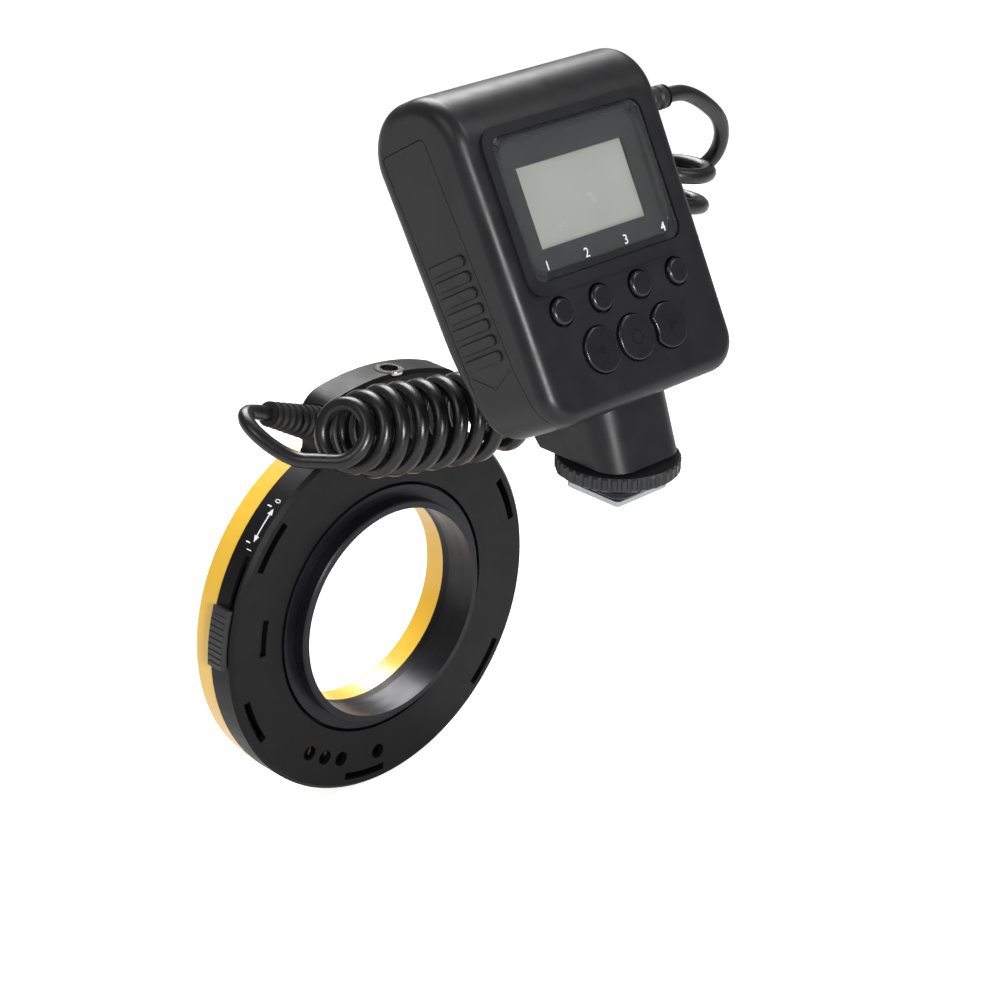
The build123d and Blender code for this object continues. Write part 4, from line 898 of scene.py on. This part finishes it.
def lamp_tree(finish):
    """Node tree that lays a flattened dome on every lamp of two circles."""
    tree = bpy.data.node_groups.new("Phosphor domes", "GeometryNodeTree")
    sockets = tree.interface
    sockets.new_socket("Geometry", in_out="OUTPUT", socket_type="NodeSocketGeometry")
    sockets.new_socket("Lamps", in_out="INPUT", socket_type="NodeSocketInt")
    for label in ("Inner radius", "Outer radius", "Dome radius"):
        sockets.new_socket(label, in_out="INPUT", socket_type="NodeSocketFloat")
    given = add_node(tree, "NodeGroupInput")
    joined = add_node(tree, "GeometryNodeJoinGeometry")
    for label in ("Inner radius", "Outer radius"):
        circle = add_node(tree, "GeometryNodeMeshCircle", None, {
            "Vertices": given.outputs["Lamps"], "Radius": given.outputs[label],
        })
        tree.links.new(circle.outputs["Mesh"], joined.inputs["Geometry"])
    dome = add_node(tree, "GeometryNodeMeshUVSphere", None, {
        "Segments": 14, "Rings": 6, "Radius": given.outputs["Dome radius"],
    })
    flat = add_node(tree, "GeometryNodeTransform", None, {
        "Geometry": dome.outputs["Mesh"], "Scale": (1.0, 1.0, DOME_FLATNESS),
    })
    laid = add_node(tree, "GeometryNodeInstanceOnPoints", None, {
        "Points": joined.outputs["Geometry"], "Instance": flat.outputs["Geometry"],
    })
    half_step = add_node(tree, "ShaderNodeMath", {"operation": "DIVIDE"}, {
        0: math.pi, 1: given.outputs["Lamps"],
    })
    turned = add_node(tree, "ShaderNodeCombineXYZ", None, {"Z": half_step.outputs["Value"]})
    spun = add_node(tree, "GeometryNodeTransform", None, {
        "Geometry": laid.outputs["Instances"], "Rotation": turned.outputs["Vector"],
    })
    upright = add_node(tree, "GeometryNodeTransform", None, {
        "Geometry": spun.outputs["Geometry"],
        "Rotation": (-math.pi / 2, 0.0, 0.0),
        "Translation": (0.0, LAMP_TOP * MM, RING_Z * MM),
    })
    real = add_node(tree, "GeometryNodeRealizeInstances", None, {"Geometry": upright.outputs["Geometry"]})
    painted = add_node(tree, "GeometryNodeSetMaterial", None, {
        "Geometry": real.outputs["Geometry"], "Material": finish,
    })
    add_node(tree, "NodeGroupOutput", None, {"Geometry": painted.outputs["Geometry"]})
    return tree


def bake_nodes(name, tree, values):
    """Run a node tree once with its named inputs and keep the result as a plain mesh."""
    carrier = bpy.data.objects.new(name, bpy.data.meshes.new(name))
    bpy.context.scene.collection.objects.link(carrier)
    modifier = carrier.modifiers.new("Layout", "NODES")
    modifier.node_group = tree
    for item in tree.interface.items_tree:
        if item.in_out == "INPUT" and item.name in values:
            modifier[item.identifier] = values[item.name]
    bpy.context.view_layer.update()
    mesh = bpy.data.meshes.new_from_object(carrier.evaluated_get(bpy.context.evaluated_depsgraph_get()))
    bpy.data.objects.remove(carrier)
    mesh.name = name
    return mesh_object(name, mesh)


class RINGLIGHT_OT_lamp_domes(bpy.types.Operator):
    """Lay a phosphor dome on every lamp"""
    bl_idname = "ringlight.lamp_domes"
    bl_label = "Lamp domes"

    def execute(self, context):
        lamps = context.scene.ringlight_lamps
        domes = bake_nodes("lamp_domes", lamp_tree(phosphor()), {
            "Lamps": lamps.in_a_circle, "Inner radius": lamps.inner_radius,
            "Outer radius": lamps.outer_radius, "Dome radius": lamps.dome_radius,
        })
        for face in domes.data.polygons:
            face.use_smooth = True
        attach(domes, "housing")
        return {"FINISHED"}


# Cells: bright steel at both ends of each sleeve, in the unit's frame and in millimetres

CELL_HEIGHTS = (38.4, 53.1, 67.8, 82.5)
CELL_DEPTH = 19.3
CELL_FROM = -28.4
CELL_LENGTH = 49.0
CELL_SIDES = 28
CAP_R = 5.6                    # the flat end
CAP_PROUD = 0.06
CAP_THICKNESS = 0.07
NUB_R = 2.6                    # the end with the nub
NUB_SKIN = 0.03                # the bright steel lies this far outside the solid nub
NUB_CLEARANCE = 0.02
NUB_LENGTH = 0.95


def disc(work, radius, x, thickness, v, n):
    """Add a round plate across a cell's end."""
    angles = [2 * math.pi * i / CELL_SIDES for i in range(CELL_SIDES)]
    outline = [(radius * math.cos(angle), radius * math.sin(angle)) for angle in angles]
    slab(work, outline, 0, thickness, lambda a, b, c: in_metres(UNIT_FRAME, x + c, v + a, -n + b))


class RINGLIGHT_OT_cell_ends(bpy.types.Operator):
    """Cap both ends of the cells with bright steel"""
    bl_idname = "ringlight.cell_ends"
    bl_label = "Cell ends"

    def execute(self, context):
        work = bmesh.new()
        for v in CELL_HEIGHTS:
            disc(work, CAP_R, CELL_FROM - CAP_PROUD, CAP_THICKNESS, v, CELL_DEPTH)
            nub_from = CELL_FROM + CELL_LENGTH + NUB_CLEARANCE
            disc(work, NUB_R + NUB_SKIN, nub_from, NUB_LENGTH, v, CELL_DEPTH)
        ends = from_bmesh("cell_ends", work, spring_nickel())
        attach(ends, "housing")
        return {"FINISHED"}


# Floor, lights and camera

FLOOR_Z = -124.4 * MM
FLOOR_LIFT = 0.72              # glow of the floor where the camera or a clear piece sees it
FLOOR_MIRRORED = 0.15          # and where a glossy piece mirrors it
FADE_TO_WHITE = (0.35, 0.9)    # metres from the object
ROOM_LEVEL = 0.24              # world light on the object, where 1 is white
SOFT_BOX_AIM = (0, 0.03, 0)
SOFT_BOXES = (                 # name, place and side in metres, power in watts
    ("Overhead soft box", (0.45, 0.8, 0.9), 0.8, 24.0),
    ("Back soft box", (-0.45, -1.0, 0.40), 0.24, 13.0),
    ("Right soft box", (0.55, -0.62, 1.0), 0.5, 3.0),
    ("Left soft box", (-0.9, 0.05, 0.65), 0.45, 2.0),
)
CAMERA_PLACE = (-455.28, -418.55, 290.82)    # millimetres


def floor_finish():
    """Pale seamless paper: lit to white where the camera sees it, with the shadow kept."""
    material, tree, surface, place = start_material("White seamless paper")
    rays = add_node(tree, "ShaderNodeLightPath")
    seen = add_node(tree, "ShaderNodeMath", {"operation": "MAXIMUM"}, {
        0: rays.outputs["Is Camera Ray"], 1: rays.outputs["Is Transmission Ray"],
    })
    mirrored = add_node(tree, "ShaderNodeMath", {"operation": "MULTIPLY"}, {
        0: rays.outputs["Is Glossy Ray"], 1: FLOOR_MIRRORED,
    })
    lifted = add_node(tree, "ShaderNodeMath", {"operation": "MULTIPLY_ADD"}, {
        0: seen.outputs["Value"], 1: FLOOR_LIFT, 2: mirrored.outputs["Value"],
    })
    feed(tree, surface, {
        "Base Color": linear("#c9c9ca"), "Roughness": drift(tree, place, 300.0, 0.85, 0.95),
        "Emission Color": (1, 1, 1, 1), "Emission Strength": lifted.outputs["Value"],
    })

    # far from the object the camera sees plain white, so that no horizon shows
    reach = add_node(tree, "ShaderNodeVectorMath", {"operation": "LENGTH"}, {0: place})
    fade = add_node(tree, "ShaderNodeMapRange", {"interpolation_type": "SMOOTHSTEP"}, {
        "Value": reach.outputs["Value"], "From Min": FADE_TO_WHITE[0], "From Max": FADE_TO_WHITE[1],
        "To Min": 0.0, "To Max": 1.0,
    })
    share = add_node(tree, "ShaderNodeMath", {"operation": "MULTIPLY"}, {
        0: fade.outputs["Result"], 1: rays.outputs["Is Camera Ray"],
    })
    white = add_node(tree, "ShaderNodeEmission", None, {"Strength": 1.0})
    blend = add_node(tree, "ShaderNodeMixShader", None, {
        0: share.outputs["Value"], 1: surface.outputs["BSDF"], 2: white.outputs["Emission"],
    })
    output = next(node for node in tree.nodes if node.type == "OUTPUT_MATERIAL")
    feed(tree, output, {"Surface": blend.outputs["Shader"]})
    return material


def soft_light(name, place, size, power, aim):
    """A square soft box that faces a point."""
    lamp = bpy.data.lights.new(name, "AREA")
    lamp.shape = "SQUARE"
    lamp.size = size
    lamp.energy = power
    box = bpy.data.objects.new(name, lamp)
    box.location = place
    box.rotation_euler = (Vector(aim) - Vector(place)).to_track_quat("-Z", "Y").to_euler()
    bpy.context.scene.collection.objects.link(box)


class RINGLIGHT_OT_stage(bpy.types.Operator):
    """Lay the floor, hang the lights and place the camera"""
    bl_idname = "ringlight.stage"
    bl_label = "Stage"

    def execute(self, context):
        stage = context.scene.ringlight_stage
        half = stage.floor_size / 2
        work = bmesh.new()
        corners = [work.verts.new((x, y, FLOOR_Z)) for x, y in
                   ((-half, -half), (half, -half), (half, half), (-half, half))]
        work.faces.new(corners)
        floor = from_bmesh("floor", work, floor_finish())

        world = bpy.data.worlds.new("Studio")
        context.scene.world = world
        world.use_nodes = True
        tree = world.node_tree
        tree.nodes.clear()
        rays = add_node(tree, "ShaderNodeLightPath")
        seen = add_node(tree, "ShaderNodeMath", {"operation": "MAXIMUM"}, {
            0: rays.outputs["Is Camera Ray"], 1: rays.outputs["Is Transmission Ray"],
        })
        level = add_node(tree, "ShaderNodeMapRange", None, {
            "Value": seen.outputs["Value"], "To Min": ROOM_LEVEL, "To Max": 1.0,
        })
        sky = add_node(tree, "ShaderNodeBackground", None, {
            "Color": (1, 1, 1, 1), "Strength": level.outputs["Result"],
        })
        add_node(tree, "ShaderNodeOutputWorld", None, {"Surface": sky.outputs["Background"]})

        for name, place, side, power in SOFT_BOXES:
            soft_light(name, place, side, power, SOFT_BOX_AIM)

        camera = bpy.data.objects.new("Camera", bpy.data.cameras.new("Camera"))
        camera.data.lens = stage.lens
        camera.data.sensor_width = 36
        camera.data.clip_start = 0.01
        az, el = stage.azimuth, stage.elevation
        ahead = Vector((math.sin(az) * math.cos(el), math.cos(az) * math.cos(el), -math.sin(el)))
        right = Vector((math.cos(az), -math.sin(az), 0))
        above = right.cross(ahead)
        c, s = math.cos(stage.roll), math.sin(stage.roll)
        right, above = right * c + above * s, above * c - right * s
        turn = Matrix((right, above, -ahead)).transposed().to_4x4()
        camera.matrix_world = Matrix.Translation(Vector(CAMERA_PLACE) * MM) @ turn
        context.scene.collection.objects.link(camera)
        context.scene.camera = camera
        context.scene.view_settings.view_transform = "Standard"
        return {"FINISHED"}


# Panel and registration


class RINGLIGHT_PT_panel(bpy.types.Panel):
    """Lists the pieces and their settings"""
    bl_label = "Ring Light"
    bl_idname = "RINGLIGHT_PT_panel"
    bl_space_type = "VIEW_3D"
    bl_region_type = "UI"
    bl_category = "Ring Light"

    def draw(self, context):
        layout = self.layout
        for group, operators in GROUPS:
            box = layout.box()
            settings = getattr(context.scene, group)
            for key in settings.bl_rna.properties.keys():
                if key not in ("rna_type", "name"):
                    box.prop(settings, key)
            for operator in operators:
                box.operator(operator.bl_idname)


GROUPS = (
    ("ringlight_finish", (RINGLIGHT_OT_finishes,)),
    ("ringlight_lead", (RINGLIGHT_OT_curly_lead,)),
    ("ringlight_marks", (RINGLIGHT_OT_printed_marks, RINGLIGHT_OT_key_marks, RINGLIGHT_OT_door_chevron)),
    ("ringlight_lamps", (RINGLIGHT_OT_lamp_domes, RINGLIGHT_OT_cell_ends)),
    ("ringlight_stage", (RINGLIGHT_OT_stage,)),
)
SETTINGS = {
    "ringlight_finish": FinishSettings,
    "ringlight_lead": LeadSettings,
    "ringlight_marks": MarkSettings,
    "ringlight_lamps": LampSettings,
    "ringlight_stage": StageSettings,
}
CLASSES = tuple(SETTINGS.values()) + tuple(op for _, ops in GROUPS for op in ops) + (RINGLIGHT_PT_panel,)


def register():
    """Register the classes and hang each group of settings on the scene."""
    for item in CLASSES:
        bpy.utils.register_class(item)
    for key, settings in SETTINGS.items():
        setattr(bpy.types.Scene, key, PointerProperty(type=settings))


def unregister():
    """Take the settings and the classes away again."""
    for key in SETTINGS:
        delattr(bpy.types.Scene, key)
    for item in reversed(CLASSES):
        bpy.utils.unregister_class(item)


def main():
    """Build every piece."""
    register()
    bpy.ops.ringlight.stage()
    bpy.ops.ringlight.curly_lead()
    bpy.ops.ringlight.finishes()
    bpy.ops.ringlight.printed_marks()
    bpy.ops.ringlight.key_marks()
    bpy.ops.ringlight.door_chevron()
    bpy.ops.ringlight.lamp_domes()
    bpy.ops.ringlight.cell_ends()


if __name__ == "__main__":
    main()
